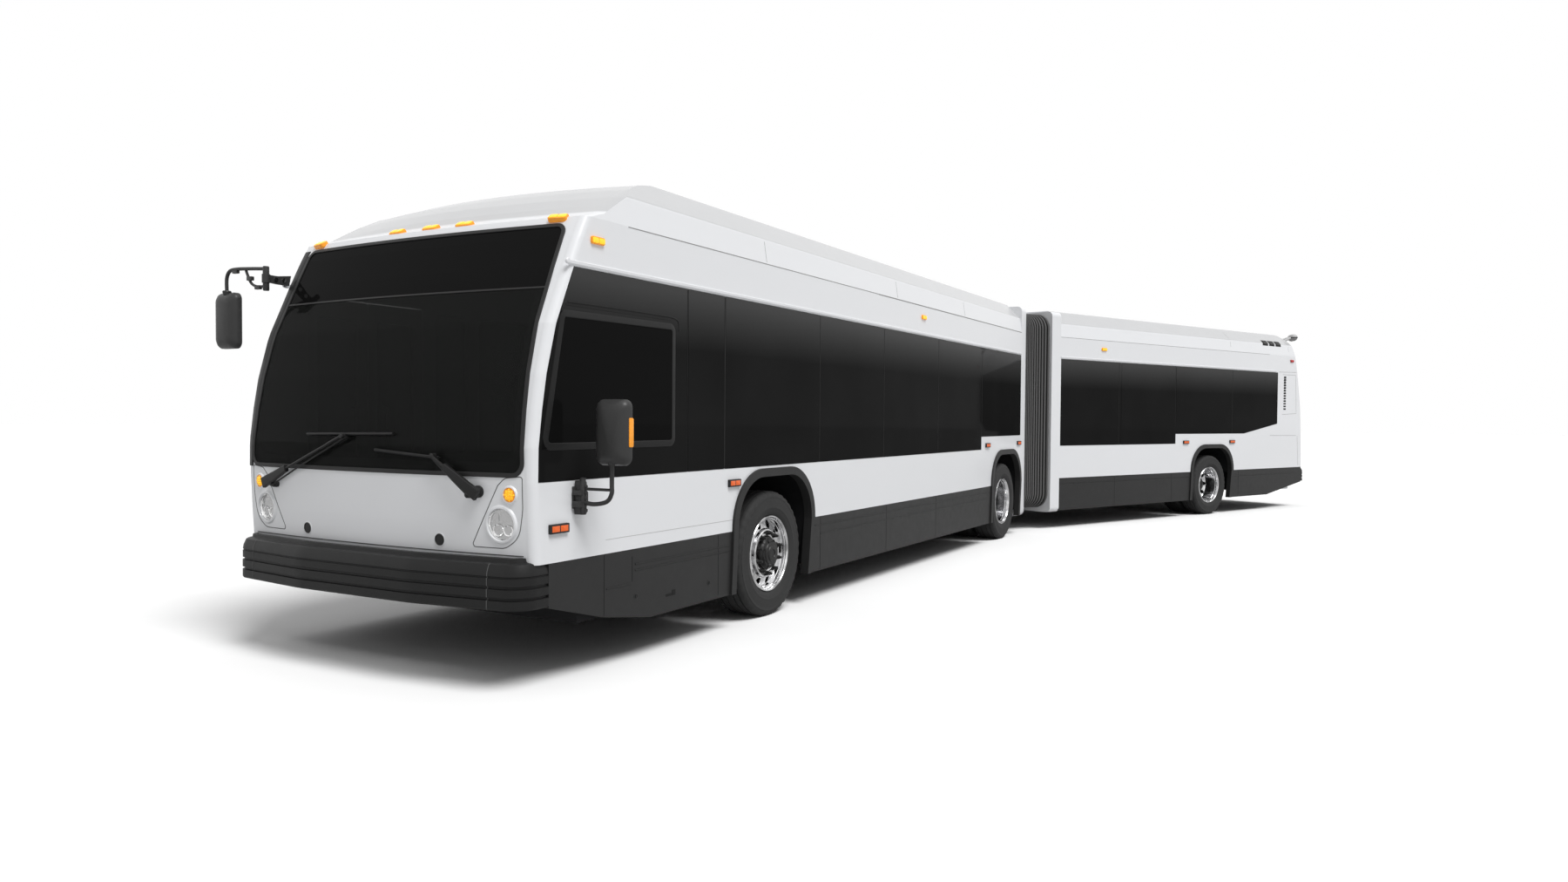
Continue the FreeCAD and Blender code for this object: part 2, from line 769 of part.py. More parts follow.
def front_floor():
    nose_back = S["nose"] - 235
    sill_y = inner + S["wall"] - S["skirt"]
    rail_z = slab_z - S["rail"]
    toe_top = TOE_Z + TOE_WALL
    pieces = [
        box((front_end, TOE_X), (-inner, inner), (slab_z, S["floor_z"])),
        box((TOE_X - TOE_WALL, TOE_X), (-inner, inner), (slab_z, toe_top)),
        box((TOE_X - TOE_WALL, nose_back), (-inner, inner), (TOE_Z, toe_top)),
        box((nose_back - 40, nose_back), (-1150, 1150), (TOE_Z, S["belt_z"] + 63)),
        box((S["cap_back"], nose_back), (inner, sill_y), (slab_z, S["belt_z"])),
        box((FRONT_DOOR[1], nose_back), (-inner, -sill_y), (slab_z, S["belt_z"])),
    ]
    holes = [box((TOE_X, nose_back), (-half, half), (slab_z, TOE_Z))]
    for side in (1, -1):
        pieces.append(box((nose_back, nose_back + 60), (side * 700, side * 500), (560, 700)))
        pieces.append(box((front_end, 1960), (side * 480, side * 400), (rail_z, slab_z)))
        for axle_x in (0, mid_axle):
            pieces.append(housing(axle_x, side, S["house_y"], S["floor_z"]))
            holes.append(well(axle_x, side, S["house_y"], slab_z, S["floor_z"]))
    for axle_x in (0, mid_axle):
        holes.append(box((axle_x - 75, axle_x + 75), (-500, 500), (rail_z - OVER, slab_z)))
    return cut(fuse(*pieces), *holes)


node("front_floor", front_floor())


def doorway_leaves(name, opening, centre_gap=4):
    rear_jamb, front_jamb = low_high(*opening)
    middle = (rear_jamb + front_jamb) / 2
    return (
        (f"{name}_front_leaf", door_leaf(front_jamb - S["door_gap"], middle + centre_gap)),
        (f"{name}_rear_leaf", door_leaf(rear_jamb + S["door_gap"], middle - centre_gap)),
    )


for label, leaf in doorway_leaves("front_door", FRONT_DOOR) + doorway_leaves("middle_door", MID_DOOR):
    node(label, leaf)
for label, leaf in doorway_leaves("rear_door", REAR_DOOR):
    node(label, leaf, "rear")


# ---------------------------------------------------------------- bumper, lamps, mirrors, wipers
def bumper_plan(offset, reach):
    """Plan outline of the front bumper, its ends wrapped round the corners."""
    side = half - offset
    face = S["nose"] + reach - offset
    back = S["nose"] - 185
    return (
        (back, -side),
        (face - 95, -side, size(150) - offset),
        (face, -500, 900),
        (face, 500, 900),
        (face - 95, side, size(150) - offset),
        (back, side),
    )


def front_bumper():
    solid = pad("z", [bumper_plan(0, 135)], 480, S["belt_z"] + 43)
    core = box((S["nose"] - 190, S["nose"] - 115), (-half + 40, half - 40), (470, S["belt_z"] + 50))
    grooves = []
    groove = 14  # width and depth
    for z in (545, 610, 675):
        band = pad("z", [bumper_plan(-30, 135)], z, z + groove)
        grooves.append(cut(band, pad("z", [bumper_plan(groove, 135)], z - OVER, z + groove + OVER)))
    return cut(solid, core, cap(NOSE, 2000, -float(S["fit"])), *grooves)


node("front_bumper", front_bumper())


def on_face(y, z):
    return face_at(NOSE, z, y)


def front_lamps():
    pieces = []
    for y, z, radius in HEADLAMPS:
        face = on_face(y, z)
        for sign in (1, -1):
            pieces.append(rod("x", (sign * y, z), radius, face - 70, face + 8))
    return pieces


node("front_lamps", front_lamps())


def clear_of_nose(shape):
    """Trim a piece so that it seats on the face of the front cap."""
    return cut(shape, cap(NOSE, 1500, -float(S["fit"])))


def wipers():
    """Two pantograph arms from the lower corners, blades parked upright beside the middle."""
    pieces = []
    for side in (1, -1):
        face = on_face(936, 1145)
        pivot_boss = rod("x", (side * 936, 1145), 22, face - 20, face + 45)
        arm = box((face + 30, face + 42), (side * 948, side * 330), (1135, 1155))
        pieces.append(clear_of_nose(fuse(pivot_boss, arm)))
    return pieces


node("wipers", wipers())


def mirrors():
    """Driver's mirror on a low J-shaped arm and the kerb mirror on a high arm."""
    arm_l = fuse(
        box((2375, 2405), (half, half + 12), (1035, 1155)),
        rod("y", (2390, 1095), 14, half, 1560),
        rod("z", (2390, 1560), 16, 1075, 1320),
    )
    head_l = pad("x", [rectangle(1440, 1680, 1300, 1690, 45)], 2345, 2435)
    face = on_face(1120, 2400)
    arm_r = fuse(
        rod("x", (-1240, 2560), 16, face - 250, face + 140),
        rod("y", (face + 130, 2560), 13, -1240, -1700),
        rod("z", (face + 130, -1690), 16, 2440, 2580),
    )
    head_r = pad("x", [rectangle(-1810, -1570, 2060, 2450, 45)], face + 90, face + 170)
    return [fuse(arm_l, head_l), clear_of_nose(fuse(arm_r, head_r))]


node("mirrors", mirrors())


# ---------------------------------------------------------------- driver's place and saloon
def cockpit():
    toe_top = TOE_Z + TOE_WALL
    front = S["nose"] - 275
    outline = ((2100, 1000), (2100, 780), (2400, toe_top), (front, toe_top), (front, 1150), (2350, 1180, 60))
    dash = pad("y", [outline], -1100, 1150)
    column = moved(rod("z", (0, 0), 25, 0, 420), 2150, 640, 800)
    wheel = doc.addObject("Part::Torus", "steering_wheel")
    wheel.Radius1, wheel.Radius2 = 225, 16
    wheel.Placement.Base = V(2000, 640, 1160)
    wheel.Placement.Rotation = FreeCAD.Rotation(V(0, 1, 0), -25)
    stem = rod("z", (0, 0), 24, -190, 10)
    spokes = box((-215, 215), (-18, 18), (-12, 6))
    stand = fuse(stem, spokes)
    stand.Placement = wheel.Placement
    return [fuse(dash, stand, wheel)]


def seat(x, y, z_floor, facing=1, wide=430):
    """Cantilevered shell seat: cushion, raked back and a leg."""
    outline = (
        (x - facing * 200, z_floor + 400),
        (x + facing * 220, z_floor + 420, 20),
        (x + facing * 220, z_floor + 460, 20),
        (x - facing * 140, z_floor + 450, 40),
        (x - facing * 230, z_floor + 980, 20),
        (x - facing * 290, z_floor + 970, 20),
    )
    shell = pad("y", [outline], y - wide / 2, y + wide / 2)
    leg = box((x - 60, x + 60), (y - 40, y + 40), (z_floor, z_floor + 430))
    return fuse(shell, leg)


node("dashboard", cockpit())
FRONT_SEATS = (
    # x, y, facing, width
    (1560, 640, 1, 500),
    (-1050, 960, 1, 500),
    (-1850, 960, 1, 500),
    (-2650, 960, 1, 500),
    (-3450, 960, 1, 500),
    (-4250, 960, 1, 500),
    (-5000, 960, 1, 500),
    (-1050, -960, 1, 500),
    (-1800, -960, 1, 500),
    (-4150, -960, 1, 500),
    (-5000, -960, 1, 500),
)
node("front_seats", [seat(x, y, S["floor_z"], facing, wide) for x, y, facing, wide in FRONT_SEATS])


# ---------------------------------------------------------------- axles, steering and wheels
hub_z = S["tyre_r"]
wheel_y = S["wheel_face"] - S["tyre_w"] / 2
twin_step = S["tyre_w"] + S["twin_gap"]
twin_y = wheel_y - twin_step / 2
EYE_R, PIN_R, STUB_R, TWIN_STUB_R = 50, 30, 34, 60


def dropped_beam(ends, web, drop_z=205, top_z=295, rise=560):
    """Axle beam with a low middle under the floor and upright ends."""
    low, high = size(drop_z), size(top_z)
    return (
        (-ends, low),
        (ends, low),
        (ends, rise),
        (ends - web, rise),
        (ends - web, high),
        (-(ends - web), high),
        (-(ends - web), rise),
        (-ends, rise),
    )


def front_axle():
    kingpin = S["kingpin_y"]
    beam = pad("x", [dropped_beam(kingpin - 55, 50)], -25, 25)
    eyes = [rod("z", (0, side * kingpin), EYE_R, hub_z - 75, hub_z + 75) for side in (1, -1)]
    webs, bores, seats = [], [], []
    for side in (1, -1):
        web_ys = (side * (kingpin - 70), side * (kingpin - 40))
        webs.append(box((-25, 25), web_ys, (hub_z - 75, hub_z + 60)))
        bores.append(rod("z", (0, side * kingpin), PIN_R + 1, hub_z - 80, hub_z + 80))
        seats.append(box((-60, 60), (side * 470, side * 410), (240, slab_z)))
    return cut(fuse(beam, *eyes, *webs, *seats), fuse(*bores))


def knuckle(side):
    """Stub axle on its kingpin, with the steering arm that reaches back to the tie rod."""
    kingpin = S["kingpin_y"]
    pin = rod("z", (0, side * kingpin), PIN_R, hub_z - 125, hub_z + 125)
    lugs, links = [], []
    for zs in ((hub_z - 135, hub_z - 85), (hub_z + 85, hub_z + 135)):
        lugs.append(rod("z", (0, side * kingpin), 46, *zs))
        links.append(box((-40, 40), (side * kingpin, side * (kingpin + 75)), zs))
    plate = box((-40, 40), (side * (kingpin + 60), side * (kingpin + 95)), (hub_z - 135, hub_z + 135))
    stub = rod("y", (0, hub_z), STUB_R, side * (kingpin + 80), side * (wheel_y + 110))
    low = hub_z - 195
    post = rod("z", (0, side * kingpin), 30, low, hub_z - 130)
    arm = box((-S["steer_arm"] - 25, 0), (side * (kingpin - 15), side * (kingpin + 15)), (low, low + 30))
    stud = rod("z", (-S["steer_arm"], side * kingpin), 10, S["tie_rod_z"] - 22, low + 5)
    return fuse(pin, *lugs, *links, plate, stub, post, arm, stud)


def tie_rod():
    x, y, z = -S["steer_arm"], S["kingpin_y"], S["tie_rod_z"]
    bar = rod("y", (x, z), 14, -y + 20, y - 20)
    eyes = [rod("z", (x, side * y), 26, z - 18, z + 18) for side in (1, -1)]
    bores = [rod("z", (x, side * y), 11, z - 18 - OVER, z + 18 + OVER) for side in (1, -1)]
    return cut(fuse(bar, *eyes), fuse(*bores))


def twin_axle(axle_x, beam, hang):
    """Beam with stub ends for twin wheels and the blocks that hang it from the floor."""
    reach = (S["house_y"] + 10, twin_y + 120)
    stubs = [rod("y", (axle_x, hub_z), TWIN_STUB_R, side * reach[0], side * reach[1]) for side in (1, -1)]
    return fuse(*beam, *stubs, *hang)


node("front_axle", front_axle())
mid_beam = pad("x", [dropped_beam(S["house_y"] + 48, 40)], mid_axle - 50, mid_axle + 50)
mid_hang = [box((mid_axle - 70, mid_axle + 70), (side * 470, side * 410), (240, slab_z)) for side in (1, -1)]
node("middle_axle", twin_axle(mid_axle, [mid_beam], mid_hang))
node("left_knuckle", knuckle(1))
node("right_knuckle", knuckle(-1))
node("tie_rod", tie_rod())


def tyre_profile(centre):
    """Half-section of a tyre: sidewalls that bulge, rounded shoulders and a flat tread."""
    wide, crown = S["tyre_w"] / 2, S["tyre_r"]
    bead = S["rim_r"] + S["fit"]
    return (
        (centre - wide + 43, bead),
        (centre + wide - 43, bead),
        (centre + wide - 43, bead + 18),
        (centre + wide - 20, bead + 26),
        (centre + wide, crown - 110, 60),
        (centre + wide - 6, crown - 14, 24),
        (centre + wide - 60, crown),
        (centre - wide + 60, crown),
        (centre - wide + 6, crown - 14, 24),
        (centre - wide, crown - 110, 60),
        (centre - wide + 20, bead + 26),
        (centre - wide + 43, bead + 18),
    )


def rim_profile(centre, root_y, disc_y, hub):
    """Barrel with flanges and a conical disc that runs from its root to the hub flange."""
    outer = S["rim_r"]
    edge = S["tyre_w"] / 2 - 40
    low, half_disc, flange_r = outer - 14, 8, 165
    return (
        (centre - edge - 12, outer + 16),
        (centre - edge, outer + 16),
        (centre - edge, outer),
        (centre + edge, outer),
        (centre + edge, outer + 16),
        (centre + edge + 12, outer + 16),
        (centre + edge + 12, low),
        (root_y + half_disc, low, 12),
        (disc_y + half_disc, flange_r, 30),
        (disc_y + half_disc, hub),
        (disc_y - half_disc, hub),
        (disc_y - half_disc, flange_r, 30),
        (root_y - half_disc, low, 12),
        (centre - edge - 12, low),
    )


def front_wheel(side):
    """Tyre and rim about their own centre, then set on the stub; the disc is dished outwards."""
    disc_y = 96
    rim = spin([rim_profile(0, 50, disc_y, 60)])
    hub = spin([rectangle(-40, disc_y + 40, STUB_R + 1, 85)])
    cover = spin([rectangle(118, 140, 0.01, 60)])
    holes = [rod("y", (215 * math.cos(a), 215 * math.sin(a)), 22, 30, disc_y + 30) for a in hand_holes()]
    return spin([tyre_profile(0)]), fuse(cut(rim, fuse(*holes)), hub, cover)


def hand_holes(count=10):
    return [math.radians(360 / count * k) for k in range(count)]


def twin_wheel():
    """Two tyres on two rims whose discs meet on one hub."""
    step = twin_step / 2
    tyres = [spin([tyre_profile(y)]) for y in (step, -step)]
    rims = [spin([rim_profile(step, 90, 8, 90)]), spin([rim_profile(-step, -90, -8, 90)])]
    hub = spin([rectangle(-150, 130, TWIN_STUB_R + 1, 110)])
    cap_disc = spin([rectangle(128, 150, 0.01, 100)])
    holes = [rod("y", (215 * math.cos(a), 215 * math.sin(a)), 22, -90, 90) for a in hand_holes()]
    return tyres, fuse(cut(fuse(*rims), fuse(*holes)), hub, cap_disc)


def set_wheel(shapes, x, y, side):
    return moved(group(*shapes), x, y, hub_z, 0 if side > 0 else 180)


for side, word in ((1, "left"), (-1, "right")):
    tyre, rim = front_wheel(side)
    node(f"front_{word}_tyre", set_wheel([tyre], 0, side * wheel_y, side))
    node(f"front_{word}_rim", set_wheel([rim], 0, side * wheel_y, side))
    tyres, rim = twin_wheel()
    node(f"middle_{word}_tyres", set_wheel(tyres, mid_axle, side * twin_y, side))
    node(f"middle_{word}_rims", set_wheel([rim], mid_axle, side * twin_y, side))
    tyres, rim = twin_wheel()
    node(f"rear_{word}_tyres", set_wheel(tyres, -S["rear_base"], side * twin_y, side), "rear")
    node(f"rear_{word}_rims", set_wheel([rim], -S["rear_base"], side * twin_y, side), "rear")


# ---------------------------------------------------------------- articulation
def joint_ring(x0, x1):
    frame = S["ring_frame"]
    outline = rectangle(-half, half, S["ring_bottom"], S["ring_top"], 70)
    hole = rectangle(-half + frame, half - frame, S["floor_z"], S["head_z"] + 60, 160)
    return pad("x", [outline, hole], x0, x1)


ring_face = front_end - S["ring_depth"]  # rear face of the front ring
node("front_joint_ring", joint_ring(ring_face, front_end))
node("rear_joint_ring", joint_ring(rear_end, -S["ring_rear"]), "rear")


def bellows_wire(share, squeeze):
    """One frame of the bellows: a rounded rectangle on a plane that fans about the pivot."""
    front_x = float(S["ring_front"] - S["fit"])
    rear_x = -float(S["ring_rear"] - S["fit"])
    wide = float(half - S["bellows_inset"]) - squeeze
    low, high = float(S["ring_bottom"]) + 30 + squeeze, float(S["ring_top"] - S["bellows_inset"]) - squeeze
    radius = 250 - squeeze
    x = front_x + (rear_x - front_x) * share
    points = []
    for sy, sz, start in ((1, 1, 0), (-1, 1, 90), (-1, -1, 180), (1, -1, 270)):
        centre_y, centre_z = sy * (wide - radius), (high - radius if sz > 0 else low + radius)
        for k in range(4):
            angle = math.radians(start + 30 * k)
            points.append(V(x, centre_y + radius * math.cos(angle), centre_z + radius * math.sin(angle)))
    wire = Part.makePolygon(points + points[:1])
    wire.rotate(V(0, 0, 0), V(0, 0, 1), -float(S["bend"]) * share)
    return wire


def bellows():
    """Folded passage cover: ridges and valleys by turns, each frame turned a little more."""
    folds = 15
    thick = 6
    steps = 2 * folds
    layers = []
    for skin in (0, thick):
        depths = [skin + (0 if k % 2 else float(S["fold"])) for k in range(steps + 1)]
        wires = [bellows_wire(k / steps, depth) for k, depth in enumerate(depths)]
        layer = doc.addObject("Part::Feature", "folded_cover")
        layer.Shape = Part.makeLoft(wires, True, True)
        layers.append(layer)
    return cut(*layers)


node("bellows", bellows(), "rear", 0)


def hoop():
    """Middle hoop of the bellows on the turntable plate that turns by half the bend."""
    x = (S["ring_front"] - S["ring_rear"]) / 2
    gap = S["bellows_inset"] + S["fold"] + 12
    wide, top = half - gap, S["ring_top"] - gap
    outer = rectangle(-wide, wide, S["floor_z"] + 1, top, 225)
    inside = rectangle(-wide + 35, wide - 35, S["floor_z"] + 36, top - 35, 190)
    frame = pad("x", [outer, inside], x - 20, x + 20)
    plate = rod("z", (0, 0), S["turntable_r"], S["floor_z"] + S["fit"], S["floor_z"] + 12)
    return fuse(frame, plate)


node("bellows_hoop", hoop(), "rear", 0.5)


def couplings():
    """Lower half on the front ring with the pivot pin, upper half on the rear ring."""
    pin_r = 110
    split, under = slab_z + 20, slab_z - 12
    lower = fuse(
        box((0, S["ring_front"]), (-400, 400), (under, split)),
        rod("z", (0, 0), 400, under, split),
        rod("z", (0, 0), pin_r, under, S["floor_z"] - 6),
    )
    upper = fuse(
        box((-S["ring_rear"], -450), (-950, 950), (split + 5, S["floor_z"])),
        box((-S["ring_rear"], 0), (-400, 400), (split + 5, S["floor_z"])),
        rod("z", (0, 0), 400, split + 5, S["floor_z"]),
    )
    return lower, cut(upper, rod("z", (0, 0), pin_r + 1, split, S["floor_z"] + 1))


lower_half, upper_half = couplings()
node("front_coupling", lower_half, "rear", 0)
node("rear_coupling", upper_half, "rear")

# ---------------------------------------------------------------- rear section
tail_wall_x = -S["tail_wall"]
rear_axle_x = -S["rear_base"]


def intake():
    """Column of short air slots behind the last pane."""
    slots, pitch, tall, low = 13, 47, 22, 1800
    through = through_range(1, S["wall"])
    levels = [low + pitch * k for k in range(slots)]
    return [box((-7490, -7410), through, (z, z + tall)) for z in levels]


rear_side = (tail_wall_x, rear_end, (rear_axle_x,))
rear_left_side = side_wall(1, *rear_side, REAR_LEFT_PANES, ())
node("rear_left_wall", cut(rear_left_side, fuse(*intake())), "rear")
node("rear_right_wall", side_wall(-1, *rear_side, REAR_RIGHT_PANES, (REAR_DOOR,)), "rear")
node("rear_windows", side_panes(1, REAR_LEFT_PANES) + side_panes(-1, REAR_RIGHT_PANES), "rear")
rear_panels = [
    skirt(1, rear_skirt_line, (rear_axle_x,), ()),
    skirt(-1, rear_skirt_line, (rear_axle_x,), (REAR_DOOR,)),
]
node("rear_skirts", rear_panels, "rear")
node("rear_arch_lips", [arch_lip(side, rear_axle_x) for side in (1, -1)], "rear")
node("rear_roof", roof(TAIL_DOME, -float(rear_end), float(S["tail"]), -1), "rear")

LID = (900, 820, 1680)  # half width, bottom, top of the engine door


def tail_shell():
    back = float(S["tail_wall"])
    return cut(cap(TAIL, back, ahead=-1), cap(TAIL, back - 60, float(S["wall"]), -1, grow=20))


def lid_hinges(spans, z_low, z_high):
    """Hinge barrels just outside the face, each with a leaf down or up to its own panel."""
    high = LID[2]
    axis_x = -face_at(TAIL, high) - 12
    pieces = []
    for y0, y1 in spans:
        pieces.append(rod("y", (axis_x, high), 9, y0, y1))
        pieces.append(box((axis_x - 4, axis_x + 30), (y0, y1), (z_low, z_high)))
    return pieces


def tail_cap():
    wide, low, high = LID
    spans = [(y, y + 40) for y in (-340, -240.3, 200, 299.7)]
    shell = cut(tail_shell(), box((-9000, -8000), (-wide, wide), (low, high)))
    return fuse(shell, *lid_hinges(spans, high, high + 45))


def engine_door():
    wide, low, high = LID
    gap = S["door_gap"] - 4
    lid = common(tail_shell(), box((-9000, -8000), (gap - wide, wide - gap), (low + gap, high - gap)))
    spans = [(y + 0.3, y + 59.4) for y in (-300, 240)]
    return fuse(lid, *lid_hinges(spans, high - 45, high))


node("tail_cap", tail_cap(), "rear")
node("engine_door", engine_door(), "rear")


def rear_floor():
    step_x, bench_x = -3960, -6300
    pieces = [
        box((step_x, rear_end), (-inner, inner), (slab_z, S["floor_z"])),
        box((step_x - 60, step_x), (-inner, inner), (slab_z, S["deck_z"])),
        box((bench_x, step_x - 60), (-inner, inner), (S["deck_z"] - S["slab"], S["deck_z"])),
        box((bench_x - 60, bench_x), (-inner, inner), (slab_z, S["bench_z"])),
        box((tail_wall_x, bench_x - 60), (-inner, inner), (S["bench_z"] - S["slab"], S["bench_z"])),
    ]
    wells = []
    for side in (1, -1):
        pieces.append(box((-7900, bench_x - 60), (side * 420, side * 340), (slab_z, S["floor_z"])))
        wells.append(well(rear_axle_x, side, S["house_y"], S["deck_z"] - S["slab"], S["deck_z"]))
        pieces.append(housing(rear_axle_x, side, S["house_y"], S["deck_z"]))
    return cut(fuse(*pieces), fuse(*wells))


node("rear_floor", rear_floor(), "rear")
node("engine", box((-7800, -6500), (-450, 450), (S["floor_z"] + S["fit"], 1150)), "rear")
axle_tube = rod("y", (rear_axle_x, hub_z), 85, -(S["house_y"] + 40), S["house_y"] + 40)
gear_case = spin([rectangle(-160, 160, 0.01, 190, 0)])
axle_xs = (rear_axle_x - 50, rear_axle_x + 50)
hangers = [box(axle_xs, (side * 470, side * 400), (hub_z, S["deck_z"] - S["slab"])) for side in (1, -1)]
case = moved(gear_case, rear_axle_x, 0, hub_z)
node("rear_axle", twin_axle(rear_axle_x, [axle_tube, case], hangers), "rear")


def rear_bumper():
    back, side, face = -S["tail"] + 120, half, -S["tail"] - 90
    plan = (
        (back, -side),
        (back, side),
        (face + 70, side, 120),
        (face, 400, 900),
        (face, -400, 900),
        (face + 70, -side, 120),
    )
    core = box((-S["tail"] - 10, back + OVER), (-side + 60, side - 60), (400, 800))
    return cut(pad("z", [plan], 470, S["belt_z"] - 1), core)


node("rear_bumper", rear_bumper(), "rear")


def tail_lamps():
    pieces = []
    for z in (900, 1060, 1220, 1380):
        for sign in (1, -1):
            face = -face_at(TAIL, z, 1060)
            pieces.append(rod("x", (sign * 1060, z), 55, face - 14, face + 30))
    return [cut(one, cap(TAIL, 7000, -float(S["fit"]), -1)) for one in pieces]


node("tail_lamps", tail_lamps(), "rear")
REAR_SEATS = (
    # x, y, floor, facing
    (-1500, 960, S["floor_z"], 1),
    (-2300, 960, S["floor_z"], 1),
    (-3100, 960, S["floor_z"], 1),
    (-1500, -960, S["floor_z"], 1),
    (-4150, 960, S["deck_z"], 1),
    (-5900, 960, S["deck_z"], 1),
    (-5900, -960, S["deck_z"], 1),
    (-7300, 960, S["bench_z"], 1),
    (-7300, 400, S["bench_z"], 1),
    (-7300, -400, S["bench_z"], 1),
    (-7300, -960, S["bench_z"], 1),
)
node("rear_seats", [seat(x, y, z, facing, 480) for x, y, z, facing in REAR_SEATS], "rear")

# ---------------------------------------------------------------- place, check and write
doc.recompute()


def whole_box():
    bounds = FreeCAD.BoundBox()
    for obj in NODES:
        bounds.add(obj.Shape.optimalBoundingBox(False, False))
    return bounds


bounds = whole_box()
middle = {"origin_x": (bounds.XMin + bounds.XMax) / 2, "origin_y": (bounds.YMin + bounds.YMax) / 2}
for alias, number in middle.items():
    origin_sheet.set(alias, f"{-number:.3f}")
doc.recompute()

faults = []
for obj in doc.Objects:
    if {"Invalid", "Error"} & set(obj.State):
        faults.append(f"{obj.Name} ({obj.Label}): {obj.getStatusString()}")
for obj in NODES:
    if obj.Shape.isNull() or not obj.Shape.isValid() or not obj.Shape.Solids:
        faults.append(f"{obj.Label}: shape is not a valid solid")
if faults:
    raise RuntimeError("; ".join(faults))
for obj in NODES:
    obj.Shape.exportStep(f"parts/{obj.Label}.step")
print("origin", origin_sheet.get("origin_x"), origin_sheet.get("origin_y"), "nodes", len(NODES))
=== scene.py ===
import json
import math

import bmesh
import bpy
import numpy as np
from mathutils import Matrix, Vector
from mathutils.bvhtree import BVHTree


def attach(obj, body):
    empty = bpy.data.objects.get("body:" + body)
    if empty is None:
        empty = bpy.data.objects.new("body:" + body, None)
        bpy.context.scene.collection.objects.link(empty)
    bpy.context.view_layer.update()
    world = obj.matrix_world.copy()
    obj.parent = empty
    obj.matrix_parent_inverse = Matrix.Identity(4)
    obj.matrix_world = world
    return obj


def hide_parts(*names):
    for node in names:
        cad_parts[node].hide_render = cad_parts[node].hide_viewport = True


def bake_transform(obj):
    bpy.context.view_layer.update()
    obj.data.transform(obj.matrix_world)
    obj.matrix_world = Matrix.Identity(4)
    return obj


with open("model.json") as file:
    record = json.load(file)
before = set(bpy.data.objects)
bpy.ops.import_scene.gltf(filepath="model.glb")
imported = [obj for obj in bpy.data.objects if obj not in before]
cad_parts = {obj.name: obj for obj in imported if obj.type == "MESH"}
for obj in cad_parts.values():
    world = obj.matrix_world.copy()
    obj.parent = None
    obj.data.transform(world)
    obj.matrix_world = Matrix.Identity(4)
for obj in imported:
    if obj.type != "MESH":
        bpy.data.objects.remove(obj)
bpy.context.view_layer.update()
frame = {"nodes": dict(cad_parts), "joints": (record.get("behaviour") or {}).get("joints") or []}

# Looks of an articulated city bus. Metres, in the frame of the CAD model.
# Both sections have +X ahead, +Y left and +Z up. The front section's zero is on the ground under
# its front axle, and the rear section's zero is on the ground under the pivot.

# ---------------------------------------------------------------- places
joints = {joint["name"]: joint for joint in frame["joints"]}


def anchor(name):
    return Vector(joints[name]["pos_m"])


def axle_centre(name):
    return sum((anchor(name.replace("*", side)) for side in ("left", "right")), Vector()) / 2


def placed(at, angle, axis="Z"):
    return Matrix.Translation(at) @ Matrix.Rotation(angle, 4, axis)


front_hub, rear_hub = axle_centre("front_*_wheel_spin"), axle_centre("rear_*_wheels_spin")
pivot = anchor("articulation")
ahead = pivot - rear_hub
BEND = math.atan2(ahead.y, ahead.x)
FRONT = Matrix.Translation((front_hub.x, front_hub.y, 0))
REAR = placed((pivot.x, pivot.y, 0), BEND)
# a body and the frame its pieces are drawn in
ON_FRONT, ON_REAR = ("front_section", FRONT), ("rear_section", REAR)


# ---------------------------------------------------------------- finishes
class Wire:
    """A shader socket that can stand in sums with numbers and other sockets."""

    def __init__(self, finish, socket):
        self.finish, self.socket = finish, socket

    def maths(self, operation, *values):
        return self.finish.node("ShaderNodeMath", {"operation": operation}, dict(enumerate(values)))

    def __add__(self, other):
        return self.maths("ADD", self, other)

    __radd__ = __add__

    def __sub__(self, other):
        return self.maths("SUBTRACT", self, other)

    def __rsub__(self, other):
        return self.maths("SUBTRACT", other, self)

    def __mul__(self, other):
        return self.maths("MULTIPLY", self, other)

    __rmul__ = __mul__

    def clamped(self, gain):
        """This value times a gain, kept between 0 and 1."""
        return self.finish.node(
            "ShaderNodeMath", {"operation": "MULTIPLY", "use_clamp": True}, {0: self, 1: gain}
        )


